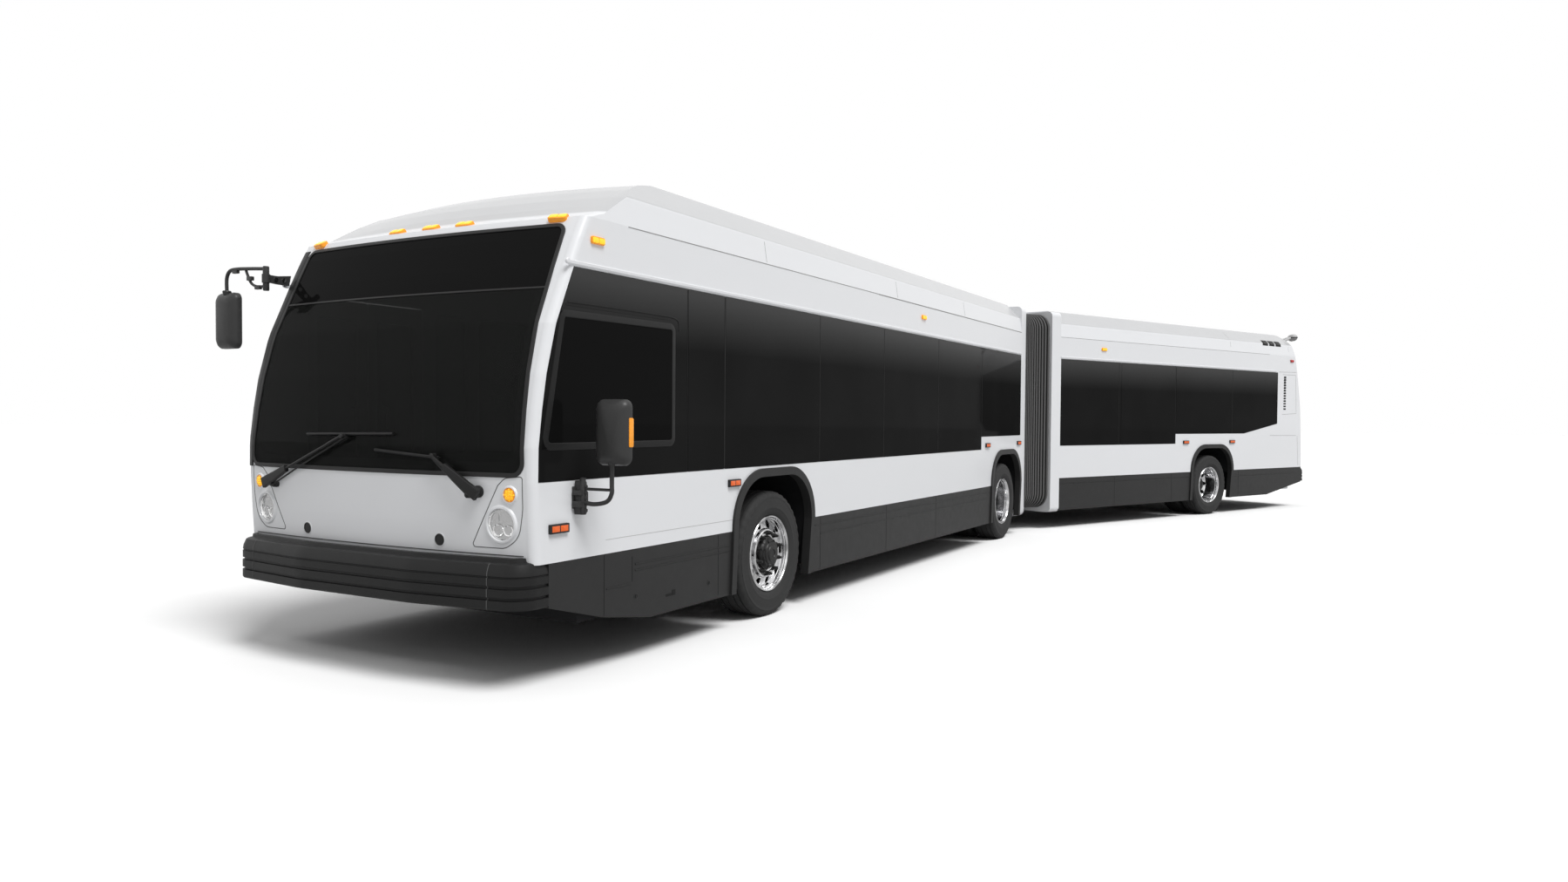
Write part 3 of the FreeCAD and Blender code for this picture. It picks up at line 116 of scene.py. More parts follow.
class Finish:
    """A material: fixed values of its Principled shader, and what varies over the surface."""

    def __init__(self, name, **fixed):
        self.material = bpy.data.materials.new(name)
        self.material.use_nodes = True
        self.tree = self.material.node_tree
        self.shader = self.tree.nodes["Principled BSDF"]
        for socket, value in fixed.items():
            self.shader.inputs[socket.replace("_", " ")].default_value = value

    def node(self, kind, settings, inputs, output=0):
        made = self.tree.nodes.new(kind)
        for key, value in settings.items():
            if key == "stops":
                while len(made.color_ramp.elements) < len(value):
                    made.color_ramp.elements.new(1)
                for element, (position, colour) in zip(made.color_ramp.elements, value):
                    element.position, element.color = position, colour
            else:
                setattr(made, key, value)
        for key, value in inputs.items():
            if isinstance(value, Wire):
                self.tree.links.new(value.socket, made.inputs[key])
            else:
                made.inputs[key].default_value = value
        return Wire(self, made.outputs[output])

    def vary(self, socket, wire):
        self.tree.links.new(wire.socket, self.shader.inputs[socket])
        return self

    def part(self, kind, axis="Z"):
        """One part of a texture coordinate."""
        return self.node(
            "ShaderNodeSeparateXYZ", {}, {0: self.node("ShaderNodeTexCoord", {}, {}, kind)}, axis
        )

    def noise(self, scale, detail, stretch=(1, 1, 1)):
        place = self.node("ShaderNodeTexCoord", {}, {}, "Object")
        where = self.node("ShaderNodeMapping", {}, {"Vector": place, "Scale": shade(stretch, scale)})
        return self.node("ShaderNodeTexNoise", {}, {"Vector": where, "Scale": 1.0, "Detail": detail}, "Fac")

    def blend(self, share, first, second):
        return self.node(
            "ShaderNodeMix", {"data_type": "RGBA"}, {0: share, 6: colour(first), 7: colour(second)}, 2
        )

    def mottled(self, share, tone, dark, light=1.0, socket="Base Color"):
        """Colour that wanders between two shades of a tone."""
        return self.vary(socket, self.blend(share, shade(tone, dark), shade(tone, light)))

    def bump(self, height, depth, strength=1.0):
        made = self.node("ShaderNodeBump", {}, {"Height": height, "Distance": depth, "Strength": strength})
        return self.vary("Normal", made)


def shade(tone, share):
    return tone * share if isinstance(tone, float) else tuple(t * share for t in tone)


def colour(value):
    if isinstance(value, Wire):
        return value
    return (*(value if isinstance(value, tuple) else [value] * 3), 1)


ROOF_EDGE, ROOF_SLOPE = 2.838, 0.3  # height and upward slope above which a roof gets painted shade: a greyer base colour


def paint(name, tone, top=None):
    """Sprayed and lacquered panel: faint orange peel, an uneven film, and, given a top tone, painted shade: a
    greyer base colour where it faces upwards above a height.
    """
    made = Finish(name, Coat_Weight=0.35, Coat_Roughness=0.08, IOR=1.45)
    film = made.blend(made.noise(0.8, 2), shade(tone, 0.985), tone)
    if top:
        steep, high = made.part("Normal") - ROOF_SLOPE, made.part("Object") - ROOF_EDGE
        # painted shade: upward faces above the roof edge take the greyer top tone, standing in for the dimmer
        # light from above
        painted_top_shade = made.blend(made.noise(2.5, 4), shade(top, 0.94), top)
        film = made.blend(steep.clamped(6.0) * high.clamped(60.0), film, painted_top_shade)
    made.vary("Base Color", film)
    made.vary("Roughness", 0.28 + 0.08 * made.noise(6, 2))
    return made.bump(made.noise(220, 1), 0.00006)


def moulded(name, tone, rough, grain=900):
    """Moulded plastic: fine leather grain with worn, slightly shinier patches."""
    made = Finish(name, Specular_IOR_Level=0.25)
    made.mottled(made.noise(3, 3), tone, 0.9, 1.1)
    made.vary("Roughness", rough - 0.06 + 0.12 * made.noise(14, 2))
    return made.bump(made.noise(grain, 2), 0.0002, 0.5)


REFLECTION_LOW, REFLECTION_HIGH = 2.05, 2.47  # heights between which the glass's colour lightens upwards, a painted reflection, and its coat grows


def dark_glass(name, tone, low, high):
    """Opaque bonded glass; its gloss grows with height, and its colour lightens towards the top: a painted
    reflection.
    """
    made = Finish(name, Specular_IOR_Level=0.0, Coat_Roughness=0.03, Roughness=0.4)
    share = (made.part("Object") - REFLECTION_LOW).clamped(1 / (REFLECTION_HIGH - REFLECTION_LOW))
    # painted reflection: the base colour runs from darker below to lighter above, by height
    made.mottled(share + 0.2 * made.noise(1.1, 2), tone, 0.8, 1 + 20 * (high - low))
    made.vary("Coat Weight", low + (high - low) * share * share)
    return made


def clear_glass(name, tone, alpha, gloss=0.12):
    made = Finish(name, Specular_IOR_Level=0.0, Coat_Weight=gloss, Coat_Roughness=0.02, Alpha=alpha)
    made.mottled(made.noise(1.1, 2), tone, 0.9)
    made.vary("Roughness", 0.25 + 0.1 * made.noise(2, 2))
    return made


def metal(name, tone, rough, scale=60, dull_and_painted_reflection=0.92):
    made = Finish(name, Metallic=1.0)
    grain = made.noise(scale, 4)
    # darker grain patches: mild tone variation at the default share; at the rims' low share the deep dark
    # patches are painted reflection
    made.mottled((grain - 0.35).clamped(3.3), tone, dull_and_painted_reflection)
    made.vary("Roughness", rough - 0.05 + 0.1 * grain)
    return made


def cloth(name, tone):
    made = Finish(name, Sheen_Weight=0.25, Specular_IOR_Level=0.2)
    threads = made.noise(700, 1, (1, 1, 4))
    made.mottled(threads, tone, 0.75)
    made.vary("Roughness", 0.8 + 0.1 * threads)
    return made.bump(threads, 0.0004, 0.6)


def rubber(name, tone):
    made = Finish(name, Specular_IOR_Level=0.3)
    made.mottled(made.noise(5, 4), tone, 0.8, 1.2)
    made.vary("Roughness", 0.7 + 0.12 * made.noise(40, 3))
    return made.bump(made.noise(500, 2), 0.0003, 0.5)


def lit(name, tone, glow):
    """Ribbed lens that shines a little by itself."""
    made = Finish(name, Specular_IOR_Level=0.6, Emission_Strength=glow)
    cells = made.noise(140, 1)
    made.mottled(cells, tone, 0.7).mottled(cells, tone, 0.5, socket="Emission Color")
    made.vary("Roughness", 0.15 + 0.15 * made.noise(60, 1))
    return made.bump(cells, 0.0008, 0.5)


WHITE = (0.83, 0.84, 0.86)
FINISHES = {
    "body_white": paint("white_paint", WHITE),
    # its grey top tone is painted shade on the roof's upward faces
    "roof_painted_shade": paint("roof_paint_painted_shade", WHITE, (0.55, 0.555, 0.565)),
    "skirt_grey": moulded("charcoal_skirt", 0.022, 0.5),
    # its much lighter colour towards the top is a painted reflection
    "glass_black": dark_glass("bonded_glass", 0.009, 0.06, 0.28),
    "sign_black": dark_glass("sign_glass", 0.006, 0.1, 0.1),
    "glass_clear": clear_glass("tinted_glass", (0.011, 0.0115, 0.011), 0.8),
    "tyre": rubber("tyre_rubber", 0.03),
    # its deep dark patches (share 0.42) are painted reflection streaks, not a real tone
    "rim": metal("polished_aluminium_painted_reflection", (0.9, 0.9, 0.91), 0.14, scale=9, dull_and_painted_reflection=0.42),
    "steel": metal("chassis_steel", 0.1, 0.5),
    # near black: the floor covering darkened as painted shade for the slab's front and the underbody below
    # the bus
    "floor": moulded("floor_covering_painted_shade", (0.01, 0.01, 0.011), 0.8, 300),
    "bellows": cloth("coated_cloth", 0.115),
    # near-black copy of the bellows cloth: painted shade in the folds
    "bellows_valley": cloth("cloth_valley_painted_shade", 0.008),
    "hub_black": moulded("hub_black", 0.018, 0.38),
    "groove": moulded("panel_groove", 0.1, 0.6),
    "bumper": moulded("bumper_moulding", 0.01, 0.45),
    "wiper_black": moulded("wiper_black", 0.012, 0.42),
    "mirror_grey": moulded("mirror_moulding", 0.042, 0.36),
    "mirror_glass": metal("mirror_glass", 0.75, 0.08),
    "chrome": metal("lamp_chrome", 0.93, 0.1),
    "clear_bulb": metal("lamp_projector", 0.16, 0.12),
    "lamp_shade": metal("lamp_shade", 0.62, 0.2),
    "amber": lit("amber_lens", (1.0, 0.36, 0.01), 0.25),
    "amber_bright": lit("amber_cell", (1.0, 0.62, 0.02), 0.7),
    # side reflectors are no lamps: their glow is painted light
    "orange": lit("side_reflector", (0.85, 0.13, 0.01), 0.22),
    "hoop": metal("hoop_alloy", 0.45, 0.35),
    "black_trim": moulded("black_trim", 0.022, 0.5),
    "lamp": clear_glass("lamp_lens", 0.9, 0.1, 1.0),
    "lamp_white": lit("white_lens", (0.8, 0.8, 0.82), 0.05),
    "lamp_red": lit("red_lens", (0.62, 0.012, 0.012), 0.15),
    "red_bezel": moulded("red_housing", (0.3, 0.01, 0.01), 0.3),
    "window_frame": moulded("window_frame", 0.007, 0.5),
    "window_dark": dark_glass("window_dark", 0.008, 0.05, 0.05),
    "groove_black": moulded("groove_black", 0.004, 0.6),
    "seam_light": moulded("seam_light", 0.52, 0.5),
    "seam_grey": moulded("seam_grey", 0.3, 0.6),
    "seat": cloth("seat_cloth", (0.05, 0.07, 0.12)),
    "seat_shell": moulded("seat_shell", (0.03, 0.033, 0.04), 0.45),
    "dash": moulded("dash_moulding", 0.05, 0.6),
}
# CAD nodes whose finish isn't their slot's own
OTHERWISE = {
    "front_roof": "roof_painted_shade", "rear_roof": "roof_painted_shade", "destination_sign": "sign_black",
    "front_seats": "seat_shell", "rear_seats": "seat_shell",
}
# the record's slot of a finish that has another name
for label, node in frame["nodes"].items():
    for slot in node.material_slots:
        slot.material = FINISHES[OTHERWISE.get(label, slot.material.name.split(".")[0])].material

# ---------------------------------------------------------------- shapes
def circle(count, radius, phase=0.0):
    steps = [phase + 2 * math.pi * k / count for k in range(count)]
    return [(radius * math.cos(a), radius * math.sin(a)) for a in steps]


def rounded(loop, count=6):
    """Closed outline; the third value of a point rounds that corner."""
    outline = []
    for i, point in enumerate(loop):
        at = Vector(point[:2])
        if len(point) < 3:
            outline.append(at)
            continue
        before = (Vector(loop[i - 1][:2]) - at).normalized()
        after = (Vector(loop[(i + 1) % len(loop)][:2]) - at).normalized()
        half = before.angle(after) / 2
        centre = at + (before + after).normalized() * (point[2] / math.sin(half))
        reach = point[2] / math.tan(half)
        first, last = at + before * reach - centre, at + after * reach - centre
        for k in range(count + 1):
            outline.append(centre + first.lerp(last, k / count).normalized() * point[2])
    return outline


def box_loop(a0, a1, b0, b1, radius=0.0):
    tail = (radius,) if radius else ()
    return rounded([(a0, b0, *tail), (a1, b0, *tail), (a1, b1, *tail), (a0, b1, *tail)])


def oblong(half_a, half_b, radius):
    """Outline centred on zero."""
    return box_loop(-half_a, half_a, -half_b, half_b, radius)


def dense(points, step, closed=True):
    """The same line with more points, none further apart than step."""
    out = []
    for i, point in enumerate(points if closed else points[:-1]):
        after = points[(i + 1) % len(points)]
        parts = max(1, math.ceil((Vector(after) - Vector(point)).length / step))
        out += [Vector(point).lerp(Vector(after), k / parts) for k in range(parts)]
    return out if closed else out + [Vector(points[-1])]


def eased(points, count=6):
    """Smooth line through the points."""
    points = [Vector(p) for p in points]
    out = []
    for i in range(len(points) - 1):
        a, b = points[i], points[i + 1]
        before = points[i - 1] if i else a
        after = points[i + 2] if i + 2 < len(points) else b
        for k in range(count):
            t = k / count
            out.append(
                0.5 * (2 * a + (b - before) * t + (2 * before - 5 * a + 4 * b - after) * t**2
                       + (3 * a - before - 3 * b + after) * t**3)
            )
    return out + [points[-1]]


AXES = {
    "x": lambda a, b, along: Vector((along, a, b)),
    "y": lambda a, b, along: Vector((a, along, b)),
    "z": lambda a, b, along: Vector((a, b, along)),
}


class Shape:
    """Points and faces of one piece; each face has the number of its finish."""

    def __init__(self):
        self.points, self.faces, self.kinds = [], [], []

    def add(self, points, faces, kind=0):
        start = len(self.points)
        self.points += [tuple(point) for point in points]
        self.faces += [tuple(start + i for i in face) for face in faces]
        self.kinds += [kind] * len(faces)
        return self

    def skin(self, rows, kind=0, ring=True, loop=False):
        """Skin over rows of points; ring closes each row and loop joins the last row to the first."""
        wide, tall = len(rows[0]), len(rows)
        faces = []
        for i in range(tall if loop else tall - 1):
            a, b = i * wide, (i + 1) % tall * wide
            for j in range(wide if ring else wide - 1):
                k = (j + 1) % wide
                faces.append((a + j, a + k, b + k, b + j))
        return self.add([point for row in rows for point in row], faces, kind)

    def solid(self, rows, kind=0):
        """Closed body over rings of points."""
        self.skin(rows, kind)
        wide, end = len(rows[0]), len(self.points)
        first = end - wide * len(rows)
        self.faces += [tuple(range(first, first + wide)), tuple(range(end - wide, end))]
        self.kinds += [kind, kind]
        return self

    def slab(self, outline, axis, low, high, kind=0, edge=0.0):
        """Outline raised along an axis; edge rounds its upper rim."""
        levels = [(low, 0.0), (high - edge, 0.0)]
        if edge:
            levels += [(high - 0.3 * edge, 0.3 * edge), (high, edge)]
        middle = sum((Vector(point) for point in outline), Vector((0, 0))) / len(outline)
        rows = []
        for level, inset in levels:
            row = []
            for point in outline:
                out = Vector(point) - middle
                near = Vector(point) - out.normalized() * inset
                row.append(AXES[axis](near.x, near.y, level))
            rows.append(row)
        return self.solid(rows, kind)

    def turned(self, profile, centre=(0, 0, 0), axis="z", count=24, kind=0, notch=None):
        """Profile of (along, radius) points turned about an axis through the centre."""
        rows = []
        for k in range(count):
            c, s = math.cos(2 * math.pi * k / count), math.sin(2 * math.pi * k / count)
            row = []
            for i, (along, radius) in enumerate(profile):
                if notch and i in notch and k % 4 < 2:
                    radius -= notch[i]
                row.append(Vector(centre) + AXES[axis](radius * c, radius * s, along))
            rows.append(row)
        return self.skin(rows, kind, ring=False, loop=True)

    def tube(self, points, radius, kind=0, sides=12):
        """Round bar along a smooth line."""
        rows, up = [], None
        for i, point in enumerate(points):
            along = (points[min(i + 1, len(points) - 1)] - points[max(i - 1, 0)]).normalized()
            if up is None:
                up = along.orthogonal().normalized()
            up = (up - along * up.dot(along)).normalized()
            across = along.cross(up)
            rows.append([point + up * a + across * b for a, b in circle(sides, radius)])
        return self.solid(rows, kind)

    def strip(self, path, section, kind=0, closed=True):
        """Section of (across, out) points carried along a path of (point, outward direction)."""
        rows, count = [], len(path)
        for i, (point, out) in enumerate(path):
            before = path[i - 1][0] if closed or i else point
            after = path[(i + 1) % count][0] if closed or i + 1 < count else point
            across = out.cross((after - before).normalized()).normalized()
            rows.append([point + across * a + out * b for a, b in section])
        return self.skin(rows, kind, loop=True) if closed else self.solid(rows, kind)


def put(name, data):
    made = bpy.data.objects.new(name, data)
    bpy.context.scene.collection.objects.link(made)
    return made


def piece(name, where, finishes, shape, angle=35, stands_for=None):
    """Object on a body; its finishes are named in the order of the shape's kinds."""
    body, place = where
    mesh = bpy.data.meshes.new(name)
    mesh.from_pydata(shape.points, [], shape.faces)
    mesh.polygons.foreach_set("material_index", shape.kinds)
    for finish in finishes.split():
        mesh.materials.append(FINISHES[finish].material)
    work = bmesh.new()
    work.from_mesh(mesh)
    bmesh.ops.remove_doubles(work, verts=work.verts, dist=1e-6)
    bmesh.ops.recalc_face_normals(work, faces=work.faces)
    work.to_mesh(mesh)
    work.free()
    mesh.polygons.foreach_set("use_smooth", [True] * len(mesh.polygons))
    mesh.set_sharp_from_angle(angle=math.radians(angle))
    made = put(name, mesh)
    made.matrix_world = place
    if body:
        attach(made, body)
    if stands_for:
        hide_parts(stands_for)
    return made


# ---------------------------------------------------------------- surfaces to lay pieces on
HALF = 1.295
NOSE = (
    # height, reach of the face ahead of the front axle on the centre line
    (0.737, 2.815), (0.8, 2.818), (0.96, 2.828), (1.206, 2.838), (1.406, 2.835), (1.62, 2.807),
    (1.83, 2.77), (2.124, 2.69), (2.343, 2.593), (2.473, 2.537), (2.66, 2.45), (2.79, 2.383),
)
CORNER, BOW = 0.06, 0.048


def face_x(rows, y, z):
    z = min(max(z, rows[0][0]), rows[-1][0])
    for (low, a), (high, b) in zip(rows, rows[1:]):
        if z <= high:
            break
    centre = a + (b - a) * (z - low) / (high - low)
    edge = HALF - CORNER
    over = min(max(abs(y) - edge, 0), CORNER)
    return centre - BOW * min(abs(y), edge) ** 2 - CORNER + math.sqrt(CORNER**2 - over**2)


def on_face(rows, ahead=1):
    """Places on the front or rear face by (across, height)."""

    def at(y, z):
        x, step = face_x(rows, y, z), 0.01
        dy = (face_x(rows, y + step, z) - face_x(rows, y - step, z)) / (2 * step)
        dz = (face_x(rows, y, z + step) - face_x(rows, y, z - step)) / (2 * step)
        return Vector((ahead * x, y, z)), Vector((ahead, -dy, -dz)).normalized()

    return at


def on_side(side):
    """Places on a side by (along, height); side is 1 for left and -1 for right."""
    return lambda x, z: (Vector((x, side * HALF, z)), Vector((0, side, 0)))


on_nose = on_face(NOSE)
TAIL = ((0.737, 8.215), (1.3, 8.195), (1.9, 8.14), (2.473, 8.025), (2.79, 7.93))
on_tail = on_face(TAIL, -1)


class Skin:
    """Outer surface of some CAD nodes, in their section's own frame."""

    def __init__(self, place, *names):
        points, faces = [], []
        back = place.inverted()
        for name in names:
            mesh, start = frame["nodes"][name].data, len(points)
            points += [back @ vertex.co for vertex in mesh.vertices]
            faces += [[start + i for i in polygon.vertices] for polygon in mesh.polygons]
        self.tree = BVHTree.FromPolygons(points, faces)

    def seen(self, start, direction):
        point, out, _, _ = self.tree.ray_cast(Vector(start), Vector(direction))
        if out.dot(Vector(direction)) > 0:
            out = -out
        return point, out


def laid(surface, line, step, closed=True):
    return [surface(a, b) for a, b in dense(line, step, closed)]


def band(width, proud, sink=0.004):
    """Section of a strip with softened edges."""
    w, e = width / 2, min(width, proud) * 0.3
    return [(-w, -sink), (-w, proud - e), (-w + e, proud), (w - e, proud), (w, proud - e), (w, -sink)]


def line_on(shape, surface, points, section, kind=0, step=0.12):
    return shape.strip(laid(surface, points, step, False), section, kind, False)


def facing(point, out):
    """Matrix at a point: Z outwards, Y upwards."""
    across = Vector((0, 0, 1)).cross(out).normalized()
    return Matrix.Translation(point) @ Matrix((across, out.cross(across), out)).transposed().to_4x4()


def frame_at(surface, a, b):
    return facing(*surface(a, b))


def set_down(shape, made, matrix):
    """Adds another shape's faces at a place."""
    start = len(shape.points)
    shape.points += [tuple(matrix @ Vector(point)) for point in made.points]
    shape.faces += [tuple(start + i for i in face) for face in made.faces]
    shape.kinds += made.kinds
    return shape


def button(shape, spot, profile, count=24, kind=0):
    """Turned piece set down with its axis outwards; profile is (out, radius)."""
    return set_down(shape, Shape().turned(profile, count=count, kind=kind), spot)


def block(shape, spot, outline, low, high, kind=0, edge=0.0):
    """Slab set down with its face outwards."""
    return set_down(shape, Shape().slab(outline, "z", low, high, kind, edge), spot)


# ---------------------------------------------------------------- wheels
TYRE_HALF = (
    # along from the middle, radius
    (0.107, 0.287), (0.113, 0.3), (0.128, 0.312), (0.138, 0.33), (0.1455, 0.352), (0.1468, 0.36),
    (0.1492, 0.363), (0.15, 0.367), (0.1492, 0.371), (0.149, 0.392), (0.1482, 0.43), (0.1465, 0.446),
    (0.1476, 0.449), (0.1476, 0.455), (0.145, 0.458), (0.142, 0.47), (0.1345, 0.486), (0.125, 0.4945),
    (0.108, 0.4975), (0.097, 0.4985), (0.0955, 0.489), (0.085, 0.489), (0.0835, 0.4992), (0.043, 0.5),
    (0.0415, 0.49), (0.031, 0.49), (0.0295, 0.5), (0.0, 0.5),
)
TREAD_NOTCHES = {14: 0.003, 15: 0.004, 16: 0.006, 17: 0.006}


def tyre_shape(shape, centres):
    loop = list(TYRE_HALF) + [(-a, r) for a, r in reversed(TYRE_HALF[:-1])]
    last = len(loop) - 1
    notch = dict(TREAD_NOTCHES)
    notch.update({last - i: cut for i, cut in TREAD_NOTCHES.items()})
    for along in centres:
        shape.turned([(a + along, r) for a, r in loop + loop[:1]], axis="y", count=160, notch=notch)
    return shape


def nut(shape, at, radius, long):
    """Wheel nut: a collar, six flats and a domed cap."""
    for (low, high), size, count in (
        ((0, 0.006), radius * 1.35, 20), ((0.006, long * 0.7), radius, 6),
        ((long * 0.7, long), radius * 0.62, 14)
    ):
        rows = []
        for level, grow in ((low, 1.0), (low + (high - low) * 0.75, 1.0), (high, 0.8)):
            rows.append([Vector(at) + Vector((a, level, b)) for a, b in circle(count, size * grow)])
        shape.solid(rows)


def hub_shape(face, flange, reach):
    """Bolted hub: black centre with a raised cap, ten nuts on the disc and eight small ones on the cap."""
    shape = Shape()
    profile = (
        (flange - 0.008, 0.129), (flange + 0.012, 0.129), (flange + 0.018, 0.124),
        (face + reach * 0.2, 0.117), (face + reach * 0.45, 0.114), (face + reach * 0.5, 0.096),
        (face + reach * 0.74, 0.09), (face + reach * 0.78, 0.068), (face + reach * 0.95, 0.062),
        (face + reach, 0.052), (face + reach, 0.034), (face + reach - 0.006, 0.03),
        (face + reach - 0.006, 0.0),
    )
    shape.turned(profile, axis="y", count=64)
    for a, b in circle(10, 0.1625, math.pi / 10):
        nut(shape, (a, flange, b), 0.0165, 0.05)
    for a, b in circle(8, 0.105, math.pi / 8):
        nut(shape, (a, face + reach * 0.44, b), 0.007, 0.012)
    return shape


HOLES, HOLE_AT, HOLE_R = 10, 0.2345, 0.0335
PLATE = 0.005
ZONE = (0.198, 0.27)  # inner and outer radius of the part of a disc that has the holes


def holed_ring(shape, along):
    """Part of a disc with round hand holes; along gives its depth by radius."""
    half = math.pi / HOLES
    share = [k / 8 for k in range(8)]
    inner, outer = ZONE
    edge = [(outer, -half + 2 * half * t) for t in share]
    edge += [(outer + (inner - outer) * t, half) for t in share]
    edge += [(inner, half - 2 * half * t) for t in share]
    edge += [(inner + (outer - inner) * t, -half) for t in share]
    for k in range(HOLES):
        middle = 2 * half * k
        rim, hole, wall = [], [], []
        for radius, angle in edge:
            a, b = radius * math.cos(angle) - HOLE_AT, radius * math.sin(angle)
            size = math.hypot(a, b)
            x, z = HOLE_AT + a / size * HOLE_R, b / size * HOLE_R
            for row, (p, q), sunk in ((rim, (a + HOLE_AT, b), 0), (hole, (x, z), 0), (wall, (x, z), 0.014)):
                reach = math.hypot(p, q)
                turn = math.atan2(q, p) + middle
                depth = along(reach) - math.copysign(sunk, along(0))
                row.append(Vector((reach * math.cos(turn), depth, reach * math.sin(turn))))
        shape.skin([rim, hole, wall])


def rim_shape(shape, centre, root, disc, side=1):
    """Rim of one tyre: rolled lip, bead ledge, well, and a disc with hand holes and a flat flange."""
    lip = ((0.112, 0.3005), (0.119, 0.3035), (0.127, 0.3035), (0.1315, 0.3), (0.131, 0.292), (0.123, 0.2865),
           (0.114, 0.285), (0.11, 0.2785), (0.1, 0.276), (0.088, 0.2755), (0.084, 0.2715), (0.074, 0.2705))
    back = (
        (root - 0.02, 0.2705), (centre - 0.074, 0.2725), (centre - 0.095, 0.277), (centre - 0.106, 0.285),
        (centre - 0.121, 0.292), (centre - 0.117, 0.3035), (centre - 0.106, 0.3005),
    )
    slope = disc - 0.03 - root if disc > root else disc + 0.014 - root

    def along(radius):
        share = (ZONE[1] - radius) / (ZONE[1] - ZONE[0])
        return side * (root + slope * min(share, 1.0)) if radius else side

    def ring(profile):
        return shape.turned([(side * a, r) for a, r in profile], axis="y", count=80)

    ring([(centre + a, r) for a, r in lip] + [(root + 0.006, 0.2722), (root, ZONE[1])])
    ring(((root, ZONE[1]), *back))
    holed_ring(shape, along)
    near = root + slope
    step = (
        (near, ZONE[0]), (near + (disc - near) * 0.25, 0.1955), (near + (disc - near) * 0.85, 0.1915),
        (disc - 0.001, 0.188), (disc + 0.001, 0.1835), (disc, 0.179), (disc - 0.002, 0.176),
        (disc - 0.002, 0.12),
    )
    return ring(step)


TWIN = 0.175  # how far each tyre of a pair lies from the middle of the pair
AXLES = (
    # axle, section, ending of its names, middles of the tyres, hub, valve's foot and length, rim
    ("front", FRONT, "", (0,), (0.122, 0.104, 0.042), (0.235, 0.07, 0.0), 0.05, (0, 0.05, 0.106)),
    ("middle", FRONT, "s", (TWIN, -TWIN), (0.1, 0.016, 0.06), (0.225, 0.03, 0.0), 0.1, (TWIN, 0.085, 0.016)),
    ("rear", REAR, "s", (TWIN, -TWIN), (0.1, 0.016, 0.06), (0.225, 0.03, 0.0), 0.1, (TWIN, 0.085, 0.016)),
)
for turn, word in ((0, "left"), (math.pi, "right")):
    for axle, section, s, middles, hub_sizes, foot, long, rim_sizes in AXLES:
        body = f"{axle}_{word}_wheel{s}"
        where = body, section @ placed(section.inverted() @ anchor(f"{body}_spin"), turn)
        piece(f"{body}_tyre", where, "tyre", tyre_shape(Shape(), middles), 40, f"{axle}_{word}_tyre{s}")
        hub = hub_shape(*hub_sizes)
        hub.tube([Vector(foot), Vector(foot) + Vector((0, long, 0.006))], 0.0045, 0, 8)
        piece(f"{body}_hub", where, "hub_black", hub)
        rims = rim_shape(Shape(), *rim_sizes)
        if len(middles) > 1:
            rim_shape(rims, *rim_sizes, -1)
        made = piece(f"{body}_rim{s}", where, "rim", rims, 30, f"{axle}_{word}_rim{s}")
        plate = made.modifiers.new("plate", "SOLIDIFY")
        plate.thickness, plate.offset = PLATE, 0

# ---------------------------------------------------------------- bellows
FOLDS, FOLD_STEPS = 15, 6
BELLOWS_FRONT, BELLOWS_REAR = 0.4377, -0.7797
BELLOWS_LOW, BELLOWS_HIGH, BELLOWS_ROUND = 0.275, 3.145, 0.25
# how far a fold's six lines lie inside the body's side, from valley to ridge and back, and where along it
FOLD_DEPTHS = (0.07, 0.048, 0.032, 0.027, 0.032, 0.048)
FOLD_LEANS = (0.0, 0.06, 0.24, 0.5, 0.76, 0.94)


def bellows_loop(inset):
    """Rounded frame of the bellows, as (y, z)."""
    wide, low, high, radius = HALF - inset, BELLOWS_LOW + inset, BELLOWS_HIGH - inset, BELLOWS_ROUND - inset
    corners = ((wide, low), (wide, high), (-wide, high), (-wide, low))
    return dense(rounded([(*corner, radius) for corner in corners], 8), 0.4)


def bellows():
    """Folded cloth cover that fans about the pivot: soft ridges, and valleys in a near-black finish that is
    painted shade.
    """
    loops = [bellows_loop(depth) for depth in FOLD_DEPTHS]
    rows, shares = [], []
    for step in range(FOLDS * FOLD_STEPS + 1):
        fold, k = divmod(step, FOLD_STEPS)
        share = min((fold + FOLD_LEANS[k]) / FOLDS, 1.0)
        x = BELLOWS_FRONT + (BELLOWS_REAR - BELLOWS_FRONT) * share
        turn = Matrix.Rotation(BEND * share, 3, "Z")
        rows.append([turn @ Vector((x, y, z)) for y, z in loops[k]])
        shares += [share] * len(rows[-1])
    wide = len(rows[0])
    shape = Shape().skin(rows)
    # faces about each valley take the near-black finish: painted shade in the creases
    shape.kinds = [1 if (i // wide) % FOLD_STEPS in (0, 1, 4, 5) else 0 for i in range(len(shape.faces))]
    place = Matrix.Translation((pivot.x, pivot.y, 0))
    made = piece("bellows_cover", (None, place), "bellows bellows_valley", shape, 60, "bellows")
    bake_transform(made)


bellows()


# ---------------------------------------------------------------- front face
GLASS_LOOP = [(-1.222, 1.247, 0.07), (1.222, 1.247, 0.07), (1.172, 2.737, 0.06), (-1.172, 2.737, 0.06)]
BEZEL = [
    (1.22, 1.242, 0.016), (1.1, 1.231, 0.07), (1.05, 1.188, 0.05), (0.856, 0.843, 0.012),
    (0.866, 0.825, 0.012), (1.09, 0.825, 0.11), (1.19, 0.89, 0.14), (1.219, 1.05, 0.3),
]

